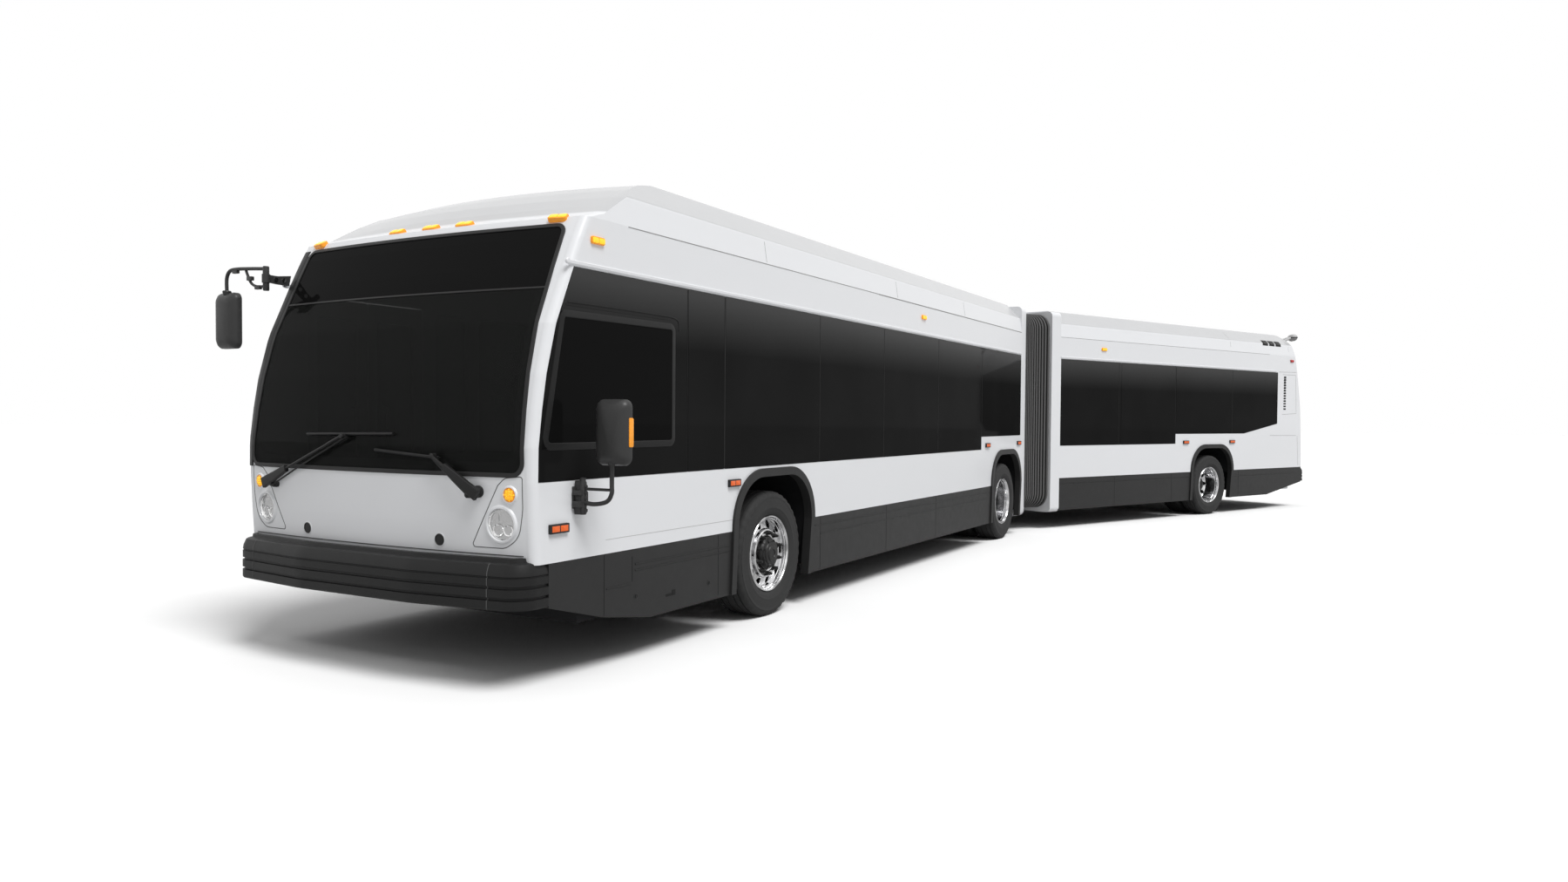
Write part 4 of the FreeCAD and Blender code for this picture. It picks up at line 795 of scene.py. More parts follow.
HEADLAMP, TURN_LAMP, TOW_EYE = (1.066, 0.963), (1.1335, 1.1365), (0.603, 0.851)  # across and up
gasket = Shape()
gasket.strip(laid(on_nose, rounded(GLASS_LOOP), 0.08), band(0.026, 0.007))
line_on(gasket, on_nose, [(-1.18, 2.3425), (1.18, 2.3425)], band(0.012, 0.004), 0, 0.08)
piece("windshield_gasket", ON_FRONT, "black_trim", gasket)

bezels, grooves = Shape(), Shape()
for side in (1, -1):
    loop = rounded([(side * point[0], *point[1:]) for point in BEZEL])
    grooves.strip(laid(on_nose, loop, 0.05), band(0.005, 0.0012, 0.002))
    for (y, z), radius, wide in ((HEADLAMP, 0.092, 0.017), (TURN_LAMP, 0.041, 0.01)):
        ring = [on_nose(side * y + a, z + b) for a, b in circle(48, radius + wide / 2)]
        section = ((-1, -0.004), (-0.7, 0.004), (-0.3, 0.01), (0.3, 0.011), (0.5, 0.004), (0.5, -0.01))
        bezels.strip(ring, [(wide * a, out) for a, out in section])
line_on(grooves, on_nose, [(-1.285, 0.786), (1.285, 0.786)], band(0.006, 0.0015), 0, 0.08)
piece("headlamp_rings", ON_FRONT, "body_white", bezels)
piece("face_grooves", ON_FRONT, "groove", grooves)

CELL_PITCH = 0.0108
reflectors, lenses, ambers, amber_cells = Shape(), Shape(), Shape(), Shape()
for side in (1, -1):
    place = frame_at(on_nose, side * HEADLAMP[0], HEADLAMP[1])
    bowl = Shape().turned([(-0.002, 0.091), (-0.01, 0.088), (-0.012, 0.086)], count=48)
    # upper chamber: two faceted halves, lower chamber: two projector barrels
    for x0, x1, z0, z1 in ((-0.082, -0.026, 0.01, 0.06), (-0.022, 0.072, 0.01, 0.06)):
        rows = []
        for level, inset in ((-0.012, 0.0), (-0.052, 0.014)):
            outline = box_loop(x0 + inset, x1 - inset, z0 + inset, z1 - inset, 0.008)
            rows.append([Vector((a, b, level)) for a, b in outline])
        bowl.skin(rows)
        bowl.add(rows[-1], [tuple(range(len(rows[-1])))])
    for x, radius in ((-0.03, 0.034), (0.04, 0.03)):
        barrel = [
            (-0.012, radius + 0.004), (-0.006, radius + 0.001), (-0.01, radius - 0.004),
            (-0.045, radius * 0.72),
        ]
        bulb = [(-0.045, radius * 0.74), (-0.03, radius * 0.55), (-0.022, radius * 0.3), (-0.019, 0.0)]
        for kind, profile in enumerate((barrel, bulb)):
            bowl.turned(profile, (x, -0.036, 0), count=32, kind=kind)
    bowl.add([(a, b, -0.014) for a, b in circle(48, 0.087)], [tuple(range(48))], 2)
    set_down(reflectors, bowl, place)
    dome = [(0.004 + 0.01 * (1 - (r / 0.09) ** 2), r) for r in (0.09, 0.083, 0.07, 0.05, 0.03, 0.01, 0.0)]
    button(lenses, place, [(-0.004, 0.09)] + dome, 48)
    place = frame_at(on_nose, side * TURN_LAMP[0], TURN_LAMP[1])
    dome = [(0.005 + 0.009 * (1 - (r / 0.04) ** 2), r) for r in (0.04, 0.036, 0.028, 0.018, 0.008, 0.0)]
    button(ambers, place, [(-0.004, 0.0405)] + dome, 40)
    for k in range(-3, 4):
        for j in range(-3, 4):
            a, b = k * CELL_PITCH, j * CELL_PITCH
            if math.hypot(a, b) < 0.034:
                rise = 0.009 * (1 - (math.hypot(a, b) / 0.04) ** 2) + 0.0035
                cell = [(0.0, 0.0046), (0.003, 0.0044), (0.0052, 0.003), (0.006, 0.0)]
                button(amber_cells, place @ Matrix.Translation((a, b, rise)), cell, 10)
piece("headlamp_reflectors", ON_FRONT, "chrome clear_bulb lamp_shade", reflectors, stands_for="front_lamps")
piece("headlamp_lenses", ON_FRONT, "lamp", lenses)
piece("turn_lamps", ON_FRONT, "amber", ambers)
piece("turn_lamp_cells", ON_FRONT, "amber_bright", amber_cells)

plugs = Shape()
for side in (1, -1):
    dome = [
        (-0.004, 0.036), (0.002, 0.036), (0.005, 0.035), (0.006, 0.031), (0.003, 0.029), (0.003, 0.012),
        (0.004, 0.0),
    ]
    ring = [(-0.004, 0.043), (0.0015, 0.043), (0.003, 0.04), (0.002, 0.0355), (-0.004, 0.0355)]
    for kind, profile in enumerate((dome, ring)):
        button(plugs, frame_at(on_nose, side * TOW_EYE[0], TOW_EYE[1]), profile, 36, kind)
piece("tow_eye_plugs", ON_FRONT, "black_trim body_white", plugs)

# wipers: a boss low on the face, two bars of a parallel linkage and a level blade
WIPERS = (
    # boss, arm's end, blade's outer and inner ends, all (across, height)
    ((0.913, 1.148), (0.6, 1.348), (0.1, 1.374), (0.63, 1.337)),
    ((-0.985, 1.143), (-0.1819, 1.448), (-0.565, 1.46), (0.248, 1.472)),
)


def face_line(points, rise):
    return [p + n * rise for p, n in laid(on_nose, points, 0.06, False)]


wipers = Shape()
for boss, end, blade_a, blade_b in WIPERS:
    side = 1 if boss[0] > 0 else -1
    place = frame_at(on_nose, *boss)
    button(
        wipers, place,
        [(-0.004, 0.036), (0.012, 0.036), (0.016, 0.03), (0.044, 0.027), (0.05, 0.02), (0.051, 0.0)], 28,
    )
    second = (boss[0] - side * 0.06, boss[1] - 0.018)
    button(
        wipers, frame_at(on_nose, *second),
        [(-0.004, 0.022), (0.01, 0.022), (0.034, 0.019), (0.038, 0.012), (0.039, 0.0)], 24,
    )
    path = [Vector(boss), Vector(end)]
    along = (path[1] - path[0]).normalized()
    quarter = path[0] + along * 0.26
    head = laid(on_nose, [path[0] - along * 0.03, quarter], 0.05, False)
    rows = []
    for k, (point, out) in enumerate(head):
        share = k / (len(head) - 1)
        wide = 0.036 - 0.014 * share
        across = out.cross((head[-1][0] - head[0][0]).normalized())
        rows.append([point + across * a + out * (0.046 + b) for a, b in oblong(wide, 0.014, 0.008)])
    wipers.solid(rows)
    wipers.tube(face_line([quarter - along * 0.02, end], 0.046), 0.0085)
    lower = Vector(second) + along * 0.02
    wipers.tube(face_line([lower, Vector(end) + (lower - Vector(boss)) * 0.35], 0.03), 0.0055)
    for section in (
        [(-0.009, 0.014), (-0.009, 0.02), (-0.004, 0.027), (0.004, 0.027), (0.009, 0.02), (0.009, 0.014)],
        [(-0.0025, 0.0005), (-0.0025, 0.016), (0.0025, 0.016), (0.0025, 0.0005)],
    ):
        line_on(wipers, on_nose, [blade_a, blade_b], section, 0, 0.06)
    button(wipers, frame_at(on_nose, *end), [(0.02, 0.016), (0.05, 0.016), (0.055, 0.011), (0.056, 0.0)], 20)
piece("wiper_arms", ON_FRONT, "wiper_black", wipers, stands_for="wipers")


# ---------------------------------------------------------------- bumper
def bumper_line(end=2.63, face=2.95, turn=0.15):
    """Plan line of a bumper, with its outward direction, from the right end round to the left."""
    corners = [
        (end, -HALF), (face - 0.095, -HALF, turn), (face, -0.5, 0.9), (face, 0.5, 0.9),
        (face - 0.095, HALF, turn), (end, HALF),
    ]
    line = rounded([(end - 0.6, -HALF), *corners, (end - 0.6, HALF)], 10)[2:-2]
    line = dense([Vector(corners[0]), *line, Vector(corners[-1])], 0.12, False)
    path = []
    for i, point in enumerate(line):
        along = (line[min(i + 1, len(line) - 1)] - line[max(i - 1, 0)]).normalized()
        path.append((Vector((*point, 0)), Vector((along.y, -along.x, 0))))
    return path


BUMPER_SECTION = (
    # in from the outer line, height
    (0.09, 0.5), (0.03, 0.482), (0.006, 0.486), (0.0, 0.496), (0.0, 0.541), (0.013, 0.545), (0.013, 0.556),
    (0.0, 0.56), (0.0, 0.606), (0.012, 0.61), (0.012, 0.621), (0.001, 0.625), (0.001, 0.668), (0.007, 0.671),
    (0.007, 0.676), (0.002, 0.68), (0.006, 0.706), (0.022, 0.744), (0.034, 0.75), (0.05, 0.752),
    (0.06, 0.758),
    (0.064, 0.776), (0.09, 0.778),
)
bumper = Shape()
rows = []
for point, out in bumper_line():
    rows.append([point + out * -inset + Vector((0, 0, z)) for inset, z in BUMPER_SECTION])
bumper.solid(rows)
for side in (1, -1):
    point, out = min(bumper_line(), key=lambda spot: abs(spot[0].x - 2.925) + abs(spot[0].y - side * 1.1))
    across = Vector((-out.y, out.x, 0))
    rows = []
    for inset, z in BUMPER_SECTION[2:19]:
        middle = point + out * (0.0015 - inset) + Vector((0, 0, z))
        rows.append([middle - across * 0.003, middle + across * 0.003])
    bumper.skin(rows, 1, ring=False)
piece("front_bumper_cover", ON_FRONT, "bumper groove", bumper, 30, "front_bumper")


# ---------------------------------------------------------------- mirrors
def mirror_head(shape, middle, size, amber=False):
    """Housing with a flat glass behind, a domed back with a raised panel, and soft corners."""
    half_y, half_z, deep = size
    turn = Matrix.Translation(middle)
    rows = []
    for x, inset in ((-0.5, 0.01), (-0.46, 0.0), (-0.1, 0.0), (0.15, 0.01), (0.38, 0.03), (0.5, 0.058)):
        outline = oblong(half_y - inset, half_z - inset, 0.05 - 0.3 * inset)
        rows.append([Vector((x * deep, a, b)) for a, b in outline])
    set_down(shape, Shape().solid(rows), turn)
    outline = oblong(half_y - 0.016, half_z - 0.016, 0.036)
    set_down(shape, Shape().slab(outline, "x", -0.5 * deep - 0.002, -0.5 * deep + 0.004, 1), turn)
    if amber:
        strip = Shape().slab(
            box_loop(-0.028, 0.01, -0.085, 0.085, 0.008), "y", half_y - 0.006, half_y + 0.005, 2, 0.004
        )
        set_down(shape, strip, turn @ Matrix.Translation((-0.2 * deep, 0, 0.0)))


mirror = Shape()
MIRROR_X, MIRROR_Y = 2.39, 1.56  # of the left mirror
mirror_head(mirror, (MIRROR_X, MIRROR_Y, 1.495), (0.118, 0.193, 0.088), True)
arm = ((1.325, 1.085), (1.42, 1.07), (1.52, 1.088), (1.558, 1.135), (MIRROR_Y, 1.19), (MIRROR_Y, 1.325))
mirror.tube(eased([(MIRROR_X, y, z) for y, z in arm]), 0.0135)
mirror.tube([Vector((MIRROR_X, y, 1.158)) for y in (1.33, 1.555)], 0.009)
mirror.slab(box_loop(2.352, 2.432, 1.04, 1.172, 0.006), "y", HALF, HALF + 0.012, 0, 0.003)
for x0, x1, z0, z1, near, far in (
    (2.36, 2.42, 1.006, 1.12, 0.008, 0.05), (2.366, 2.414, 1.112, 1.206, 0.008, 0.044),
    (2.376, 2.44, 1.05, 1.086, 0.01, 0.062),
    (2.376, 2.44, 1.12, 1.15, 0.01, 0.062), (2.352, 2.372, 1.06, 1.14, 0.03, 0.058),
):
    mirror.slab(box_loop(x0, x1, z0, z1, 0.006), "y", HALF + near, HALF + far, 0, 0.004)
hinge = [
    (1.004, 0.0), (1.005, 0.019), (1.014, 0.023), (1.196, 0.023), (1.204, 0.018), (1.222, 0.018), (1.227, 0.0)
]
mirror.turned(hinge, (MIRROR_X, HALF + 0.048, 0))
for z in (1.03, 1.068, 1.104, 1.136, 1.172):
    mirror.turned(
        [(HALF + 0.05, 0.013), (HALF + 0.076, 0.012), (HALF + 0.08, 0.0)], (MIRROR_X, 0, z), "y", 14
    )
mirror.turned([(1.3, 0.02), (1.318, 0.026), (1.326, 0.026)], (MIRROR_X, MIRROR_Y, 0), count=20)
piece("left_mirror", ON_FRONT, "mirror_grey mirror_glass amber", mirror, stands_for="mirrors")

mirror = Shape()
POST, HANGER = (2.64, -1.262), (2.65, -1.69)  # the arm's post and the rod that the right mirror hangs on
mirror_head(mirror, (*HANGER, 2.248), (0.118, 0.198, 0.078))
mirror.turned(
    [(2.438, 0.0), (2.439, 0.018), (2.446, 0.021), (2.6, 0.021), (2.607, 0.018), (2.608, 0.0)], (*POST, 0)
)
mirror.turned([(2.492, 0.021), (2.494, 0.027), (2.552, 0.027), (2.554, 0.021)], (*POST, 0))
upper = [
    (*POST, 2.59), (2.644, -1.42, 2.6), (2.648, -1.58, 2.606), (2.65, -1.655, 2.595), (*HANGER, 2.545),
    (*HANGER, 2.45),
]
mirror.tube(eased(upper), 0.0125)
lower = [
    (*POST, 2.47), (2.642, -1.36, 2.474), (2.644, -1.42, 2.5), (2.645, -1.46, 2.56), (2.646, -1.48, 2.602)
]
mirror.tube(eased(lower), 0.0095)
for x, y, z in ((2.648, -1.59, 2.59), (2.644, -1.432, 2.532), (2.643, -1.345, 2.466)):
    clamp = box_loop(y - 0.028, y + 0.028, z - 0.014, z + 0.014, 0.005)
    mirror.slab(clamp, "x", x - 0.011, x + 0.011, 0, 0.003)
outline = ((2.47, 2.49), (2.56, 2.492), (2.625, 2.498), (2.625, 2.55), (2.56, 2.548), (2.455, 2.562))
for y in (-1.268, -1.256):
    mirror.slab(outline, "y", y - 0.003, y + 0.003)
for x, z in ((2.51, 2.524), (2.572, 2.523)):
    mirror.turned([(-1.276, 0.0), (-1.2755, 0.015), (-1.2485, 0.015), (-1.248, 0.0)], (x, 0, z), "y", 20, 1)
mirror.turned([(2.43, 0.024), (2.452, 0.03), (2.46, 0.026)], (*HANGER, 0), count=20)
piece("right_mirror", ON_FRONT, "mirror_grey mirror_glass", mirror)


# ---------------------------------------------------------------- lamps and reflectors
def lamp_block(shape, place, wide, tall, proud, bezel=0, cell=1):
    """Oblong marker lamp: a softened housing with two raised cells."""
    base = Shape().slab(oblong(wide / 2, tall / 2, tall * 0.3), "z", -0.012, proud, bezel, 0.005)
    for side in (-1, 1):
        near, far = side * wide * 0.02, side * wide * 0.45
        lens = box_loop(min(near, far), max(near, far), -tall * 0.36, tall * 0.36, tall * 0.2)
        base.slab(lens, "z", proud - 0.003, proud + 0.004, cell, 0.004)
    return set_down(shape, base, place)


def roof_side(skin, side):
    """Places on a section's shoulder by (along, height)."""
    return lambda x, z: skin.seen((x, side * 2.0, z), (0, -side, 0))


front_skin = Skin(FRONT, "front_roof", "front_cap", "front_left_wall", "front_right_wall", "front_joint_ring")
rear_skin = Skin(REAR, "rear_roof", "tail_cap", "rear_left_wall", "rear_right_wall", "rear_joint_ring")

lamps = Shape()
for y in (-1.097, -0.312, 0.0, 0.312, 1.097):
    point, out = front_skin.seen((2.8, y, 3.29 - 0.03 * abs(y)), (-1, 0, -1))
    lamp_block(lamps, facing(point, Vector((0.55, 0.12 * y, 0.83)).normalized()), 0.128, 0.062, 0.017)
piece("roof_marker_lamps", ON_FRONT, "amber amber_bright", lamps)

MARKERS = (
    # body and frame, name, finishes, lamps along the side (x, z), width, height and depth
    (
        ON_FRONT, "front_side_markers", "amber amber_bright", ((2.206, 2.652), (-3.176, 2.666)),
        (0.125, 0.046, 0.015),
    ),
    (ON_REAR, "rear_side_markers", "amber amber_bright", ((-2.008, 2.653),), (0.125, 0.046, 0.015)),
    (ON_REAR, "rear_red_markers", "red_bezel lamp_red", ((-7.69, 2.697),), (0.115, 0.044, 0.014)),
)
for where, name, finishes, places, size in MARKERS:
    lamps = Shape()
    for side in (1, -1):
        for x, z in places:
            lamp_block(lamps, frame_at(on_side(side), x, z), *size)
    piece(name, where, finishes, lamps)

REFLECTORS = (
    # body and frame, name, reflectors (x on the left, x on the right, z)
    (ON_FRONT, "front_side_reflectors",
     ((2.553, 2.553, 0.934), (0.627, 0.9, 1.099), (-5.392, -5.392, 1.259), (-6.755, -6.755, 1.264))),
    (ON_REAR, "rear_side_reflectors", ((-4.246, -4.246, 1.231), (-5.665, -5.665, 1.229))),
)
for where, name, places in REFLECTORS:
    blocks = Shape()
    for side in (1, -1):
        for left, right, z in places:
            spot = frame_at(on_side(side), left if side > 0 else right, z)
            block(blocks, spot, oblong(0.081, 0.0275, 0.004), -0.004, 0.019, 0, 0.003)
            for near, far in ((-0.068, -0.004), (0.004, 0.068)):
                block(blocks, spot, box_loop(near, far, -0.0175, 0.0175, 0.002), 0.016, 0.0205, 1, 0.0015)
    # the reflectors' orange finish glows a little: painted light
    piece(name, where, "black_trim orange", blocks)

# ---------------------------------------------------------------- sides: rails, seams, window frame
RAILS = (
    # word, body and frame, skin, rail's height above the glass, its section, its ends,
    # roof seams (x from, x to, z, width), shoulder joints and their ends (z)
    ("front", ON_FRONT, front_skin, (0.0075, 0.01, 0.0085, 0.005), (2.47, -6.845),
     ((1.9, -2.0, 2.7865, 0.006), (-2.0, -6.845, 2.785, 0.01)), (0.153, -2.471, -4.505), (2.8, 3.0)),
    ("rear", ON_REAR, rear_skin, (0.0065, 0.01, 0.0075, 0.004), (-0.985, -7.15),
     ((-0.985, -6.89, 2.7865, 0.005),), (-5.6, -7.585), (2.86, 3.12)),
)
RAIL_Z = 2.492
for word, where, skin, (low, step, top, high), ends, seams, joints_at, levels in RAILS:
    rails, lines = Shape(), Shape()
    section = [(-0.014, -0.003), (-0.014, 0.003), (-0.006, low), (step, top), (0.014, high), (0.014, -0.003)]
    for side in (1, -1):
        wall, shoulder = on_side(side), roof_side(skin, side)
        line_on(rails, wall, [(x, RAIL_Z) for x in ends], section)
        if word == "front":
            button(
                rails, frame_at(wall, 2.474, 2.497),
                [(-0.004, 0.017), (0.008, 0.017), (0.011, 0.013), (0.012, 0.0)],
            )
        for x0, x1, z, wide in seams:
            line_on(lines, wall, [(x0, z), (x1, z)], band(wide, 0.0012, 0.002))
        for x in joints_at:
            line_on(lines, shoulder, [(x, z) for z in levels], band(0.004, 0.001, 0.002), 0, 0.05)
    piece(f"{word}_rain_rails", where, "body_white", rails, 25)
    piece(f"{word}_roof_seams", where, "seam_grey", lines)

# the driver's window stands in a rounded frame with a double rail above it
GLASS_LOW, GLASS_STEP, GLASS_TOP = 1.215, 1.38, 2.466  # lower edges and upper edge of the side glass
WINDOW = [(2.69, 1.394, 0.06), (1.388, 1.394, 0.055), (1.388, 2.212, 0.055), (2.53, 2.205, 0.05)]
left_wall = on_side(1)
window = Shape()
section = [(-0.005, -0.004), (-0.005, 0.001), (0.004, 0.004), (0.034, 0.006), (0.038, 0.004), (0.038, -0.004)]
window.strip(laid(left_wall, rounded(WINDOW), 0.08), section)
upper = eased([(2.47, 2.258), (2.2, 2.262), (1.6, 2.262), (1.42, 2.258), (1.352, 2.235), (1.34, 2.17)], 4)
line_on(window, left_wall, upper, band(0.008, 0.004, 0.003))
for a, b, wide, proud, kind in (
    ((2.49, 2.243), (1.43, 2.243), 0.013, 0.0015, 1),
    ((1.238, GLASS_LOW), (1.238, GLASS_TOP), 0.004, 0.002, 0),
    ((0.757, 1.212), (0.757, GLASS_TOP), 0.012, 0.0016, 1),
):
    line_on(window, left_wall, [a, b], band(wide, proud, 0.003), kind)
glass = Shape()
for outline, proud in (
    ([(2.69, 1.4), (1.95, 1.4), (1.95, 2.206), (2.535, 2.2)], 0.0022),
    ([(1.965, 1.401, 0.01), (1.393, 1.401, 0.05), (1.393, 2.208, 0.05), (1.965, 2.206, 0.01)], 0.0012),
):
    glass.slab(rounded(outline), "y", HALF - 0.001, HALF + proud)
piece("driver_window_frame", ON_FRONT, "window_frame groove_black", window, 25)
piece("driver_window_glass", ON_FRONT, "window_dark", glass)

# pane joints of the flush glass
for where, name, joints_at, step_x in (
    (ON_FRONT, "front_pane_joints", (-0.769, -2.146, -3.644, -5.16), -5.1),
    (ON_REAR, "rear_pane_joints", (-2.4, -3.935, -5.66), -4.0),
):
    lines = Shape()
    for x in joints_at:
        low = GLASS_STEP if x < step_x else GLASS_LOW
        line_on(lines, left_wall, [(x, low), (x, GLASS_TOP)], band(0.007, 0.0014, 0.003), 0, 0.3)
    piece(name, where, "groove_black", lines)

# ---------------------------------------------------------------- skirts
SKIRT_SEAMS = (
    # body and frame, name, doorways, upright joints (x, high z, low z), level ribs (x from, x to, z)
    (ON_FRONT, "front_skirt_joints", ((2.345, 1.285), (-2.255, -3.525)),
     ((2.132, 0.732, 0.35), (0.832, 0.732, 0.29), (1.85, 0.69, 0.53), (-2.23, 0.73, 0.272),
      (-3.603, 0.73, 0.272), (-0.8, 0.73, 0.272)),
     ((1.82, 0.69, 0.635), (1.82, 0.69, 0.595), (-0.7, -5.5, 0.66), (-0.8, -5.45, 0.585),
      (2.11, 1.86, 0.514))),
    (ON_REAR, "rear_skirt_joints", ((-2.295, -3.565),),
     ((-2.32, 0.73, 0.272), (-3.85, 0.73, 0.272), (-5.9, 0.73, 0.272)),
     ((-1.0, -4.38, 0.655), (-5.73, -7.9, 0.632))),
)


def clear_of(start, end, gaps):
    """Stretches of a line along a side, from its front end to its rear end, that miss the doorways."""
    for ahead, behind in gaps:
        if start > behind and end < ahead:
            rest = clear_of(behind, end, gaps) if end < behind else []
            return [(start, ahead)] + rest if start > ahead else rest
    return [(start, end)]


for where, name, doorways, uprights, levels in SKIRT_SEAMS:
    lines = Shape()
    for side in (1, -1):
        wall = on_side(side)
        gaps = doorways if side < 0 else ()
        for x, high, low in uprights:
            if clear_of(x, x - 0.001, gaps):
                line_on(lines, wall, [(x, high), (x, low)], band(0.0045, 0.0012, 0.003), 0, 0.2)
        for front, back, z in levels:
            ledge = [(-0.006, -0.003), (-0.006, 0.0005), (0.002, 0.0045), (0.006, 0.004), (0.0065, -0.003)]
            for x0, x1 in clear_of(front, back, gaps):
                line_on(lines, wall, [(x0, z), (x1, z)], ledge, 1, 0.3)
    piece(name, where, "groove_black skirt_grey", lines, 20)

hardware = Shape()
for x, z in ((1.812, 0.427), (0.957, 0.397)):
    spot = frame_at(left_wall, x, z)
    ring = [(-0.004, 0.021), (0.001, 0.021), (0.0025, 0.018), (0.0015, 0.014), (-0.001, 0.013)]
    button(hardware, spot, ring, 28)
    button(hardware, spot, [(-0.001, 0.0135), (0.0008, 0.012), (0.0008, 0.0)], 20, 1)
    block(hardware, spot, oblong(0.003, 0.01, 0.002), 0.0006, 0.003)
for x0, x1, z0, z1 in ((1.372, 1.41, 0.374, 0.412), (1.404, 1.482, 0.374, 0.392)):
    hardware.slab(box_loop(x0, x1, z0, z1, 0.004), "y", HALF - 0.004, HALF + 0.0016, 1)
piece("front_skirt_hardware", ON_FRONT, "skirt_grey groove_black", hardware)

lines = line_on(Shape(), left_wall, [(2.117, 0.824), (0.56, 0.824)], band(0.004, 0.001, 0.003), 0, 0.3)
piece("front_wall_line", ON_FRONT, "seam_light", lines)

# black trim round the right-hand corner of the windshield, under the mirror's arm
corner = Shape()
path = [on_nose(-1.2555 + 0.025 * (z - 1.25) / 1.49, z) for z in np.linspace(1.235, 2.745, 24)]
section = [
    (-0.034, -0.004), (-0.034, 0.002), (-0.028, 0.004), (0.026, 0.004), (0.032, 0.002), (0.032, -0.004)
]
corner.strip(path, section, closed=False)
piece("right_corner_trim", ON_FRONT, "wiper_black", corner)

# ---------------------------------------------------------------- doors
LEAVES = (
    # body, section, lower and upper x
    ("front_door_front_leaf", FRONT, 1.819, 2.33), ("front_door_rear_leaf", FRONT, 1.3, 1.811),
    ("middle_door_front_leaf", FRONT, -2.886, -2.27), ("middle_door_rear_leaf", FRONT, -3.51, -2.894),
    ("rear_door_front_leaf", REAR, -2.926, -2.31), ("rear_door_rear_leaf", REAR, -3.55, -2.934),
)
PANE_LOW, PANE_HIGH, LEAF_LOW, LEAF_HIGH = 0.465, 2.34, 0.352, 2.424
right_wall = on_side(-1)
for body, section, x0, x1 in LEAVES:
    where = body, section
    free, hinge = (x0 + 0.009, x1) if body.endswith("front_leaf") else (x1 - 0.009, x0)
    corners = (
        (x1 - 0.035, PANE_LOW), (x1 - 0.035, PANE_HIGH), (x0 + 0.035, PANE_HIGH), (x0 + 0.035, PANE_LOW)
    )
    pane = [(*corner, 0.03) for corner in corners]
    glass = Shape().slab(rounded(pane), "y", -HALF - 0.0018, -HALF + 0.002)
    inside = box_loop(x0 + 0.078, x1 - 0.078, PANE_LOW + 0.043, PANE_HIGH - 0.043, 0.01)
    glass.slab(inside, "y", -HALF + 0.0075, -HALF + 0.012)
    piece(f"{body}_glass", where, "glass_black", glass)
    trim = Shape()
    trim.strip(laid(right_wall, rounded(pane), 0.08), band(0.014, 0.0045, 0.003))
    line_on(trim, right_wall, [(free, LEAF_LOW), (free, LEAF_HIGH)], band(0.016, 0.006, 0.003))
    line_on(trim, right_wall, [(x0 + 0.02, 0.356), (x1 - 0.02, 0.356)], band(0.018, 0.004, 0.003))
    near = (free * 3 + hinge) / 4
    rail = ((-1.249, 0.95), (-1.205, 0.965), (-1.2, 1.02), (-1.2, 1.58), (-1.205, 1.635), (-1.249, 1.65))
    trim.tube(eased([(near, y, z) for y, z in rail], 4), 0.014, 1)
    piece(f"{body}_trim", where, "wiper_black hoop", trim, 25)


# ---------------------------------------------------------------- rear
def patch(shape, surface, corners, proud, kind=0, steps=4):
    """Thin raised panel between four corners of a surface."""
    a, b, c, d = (Vector(corner) for corner in corners)
    rows = []
    for i in range(steps + 1):
        start, end = a.lerp(d, i / steps), b.lerp(c, i / steps)
        spots = [surface(*start.lerp(end, k / steps)) for k in range(steps + 1)]
        rows.append([p + out * proud for p, out in spots] + [p - out * 0.004 for p, out in reversed(spots)])
    return shape.solid(rows, kind)


vents, seams_rear, cameras = Shape(), Shape(), Shape()
for side in (1, -1):
    shoulder = roof_side(rear_skin, side)
    for x in (-6.7, -6.925, -7.15):
        for kind, (proud, *corners) in enumerate((
            (0.003, (0, 3.036), (-0.185, 3.036), (-0.17, 2.944), (0.015, 2.944)),
            (0.005, (-0.035, 3.01), (-0.15, 3.01), (-0.145, 2.97), (-0.03, 2.97)),
        )):
            patch(vents, shoulder, [(x + along, z) for along, z in corners], proud, kind)
    for points in (
        [(-7.233, 2.484), (-7.983, 2.498)], [(-7.844, 2.441), (-7.886, 1.733), (-7.366, 1.711)],
        [(-7.844, 2.441), (-7.366, 2.441)],
        [(-6.955, 1.329), (-7.889, 1.325)], [(-7.938, 1.318), (-7.982, 0.77)],
    ):
        line_on(seams_rear, shoulder, points, band(0.005, 0.0012, 0.003), 0, 0.08)
    for k in range(13):
        z = 1.812 + 0.0485 * k
        slot = [(-7.415, z + 0.014), (-7.495, z + 0.014), (-7.495, z - 0.014), (-7.415, z - 0.014)]
        patch(vents, on_side(side), slot, 0.0012, 0, 1)
for y0, z0, y1, z1 in (
    (-1.02, 2.44, 1.02, 2.44), (-1.02, 2.44, -1.02, 1.76), (1.02, 2.44, 1.02, 1.76),
    (-1.2, 1.76, 1.2, 1.76), (-0.985, 0.78, -0.985, 1.76), (0.985, 0.78, 0.985, 1.76),
):
    line_on(seams_rear, on_tail, [(y0, z0), (y1, z1)], band(0.005, 0.0012, 0.003))
piece("rear_roof_vents", ON_REAR, "groove_black wiper_black", vents)
piece("rear_panel_seams", ON_REAR, "seam_grey", seams_rear)
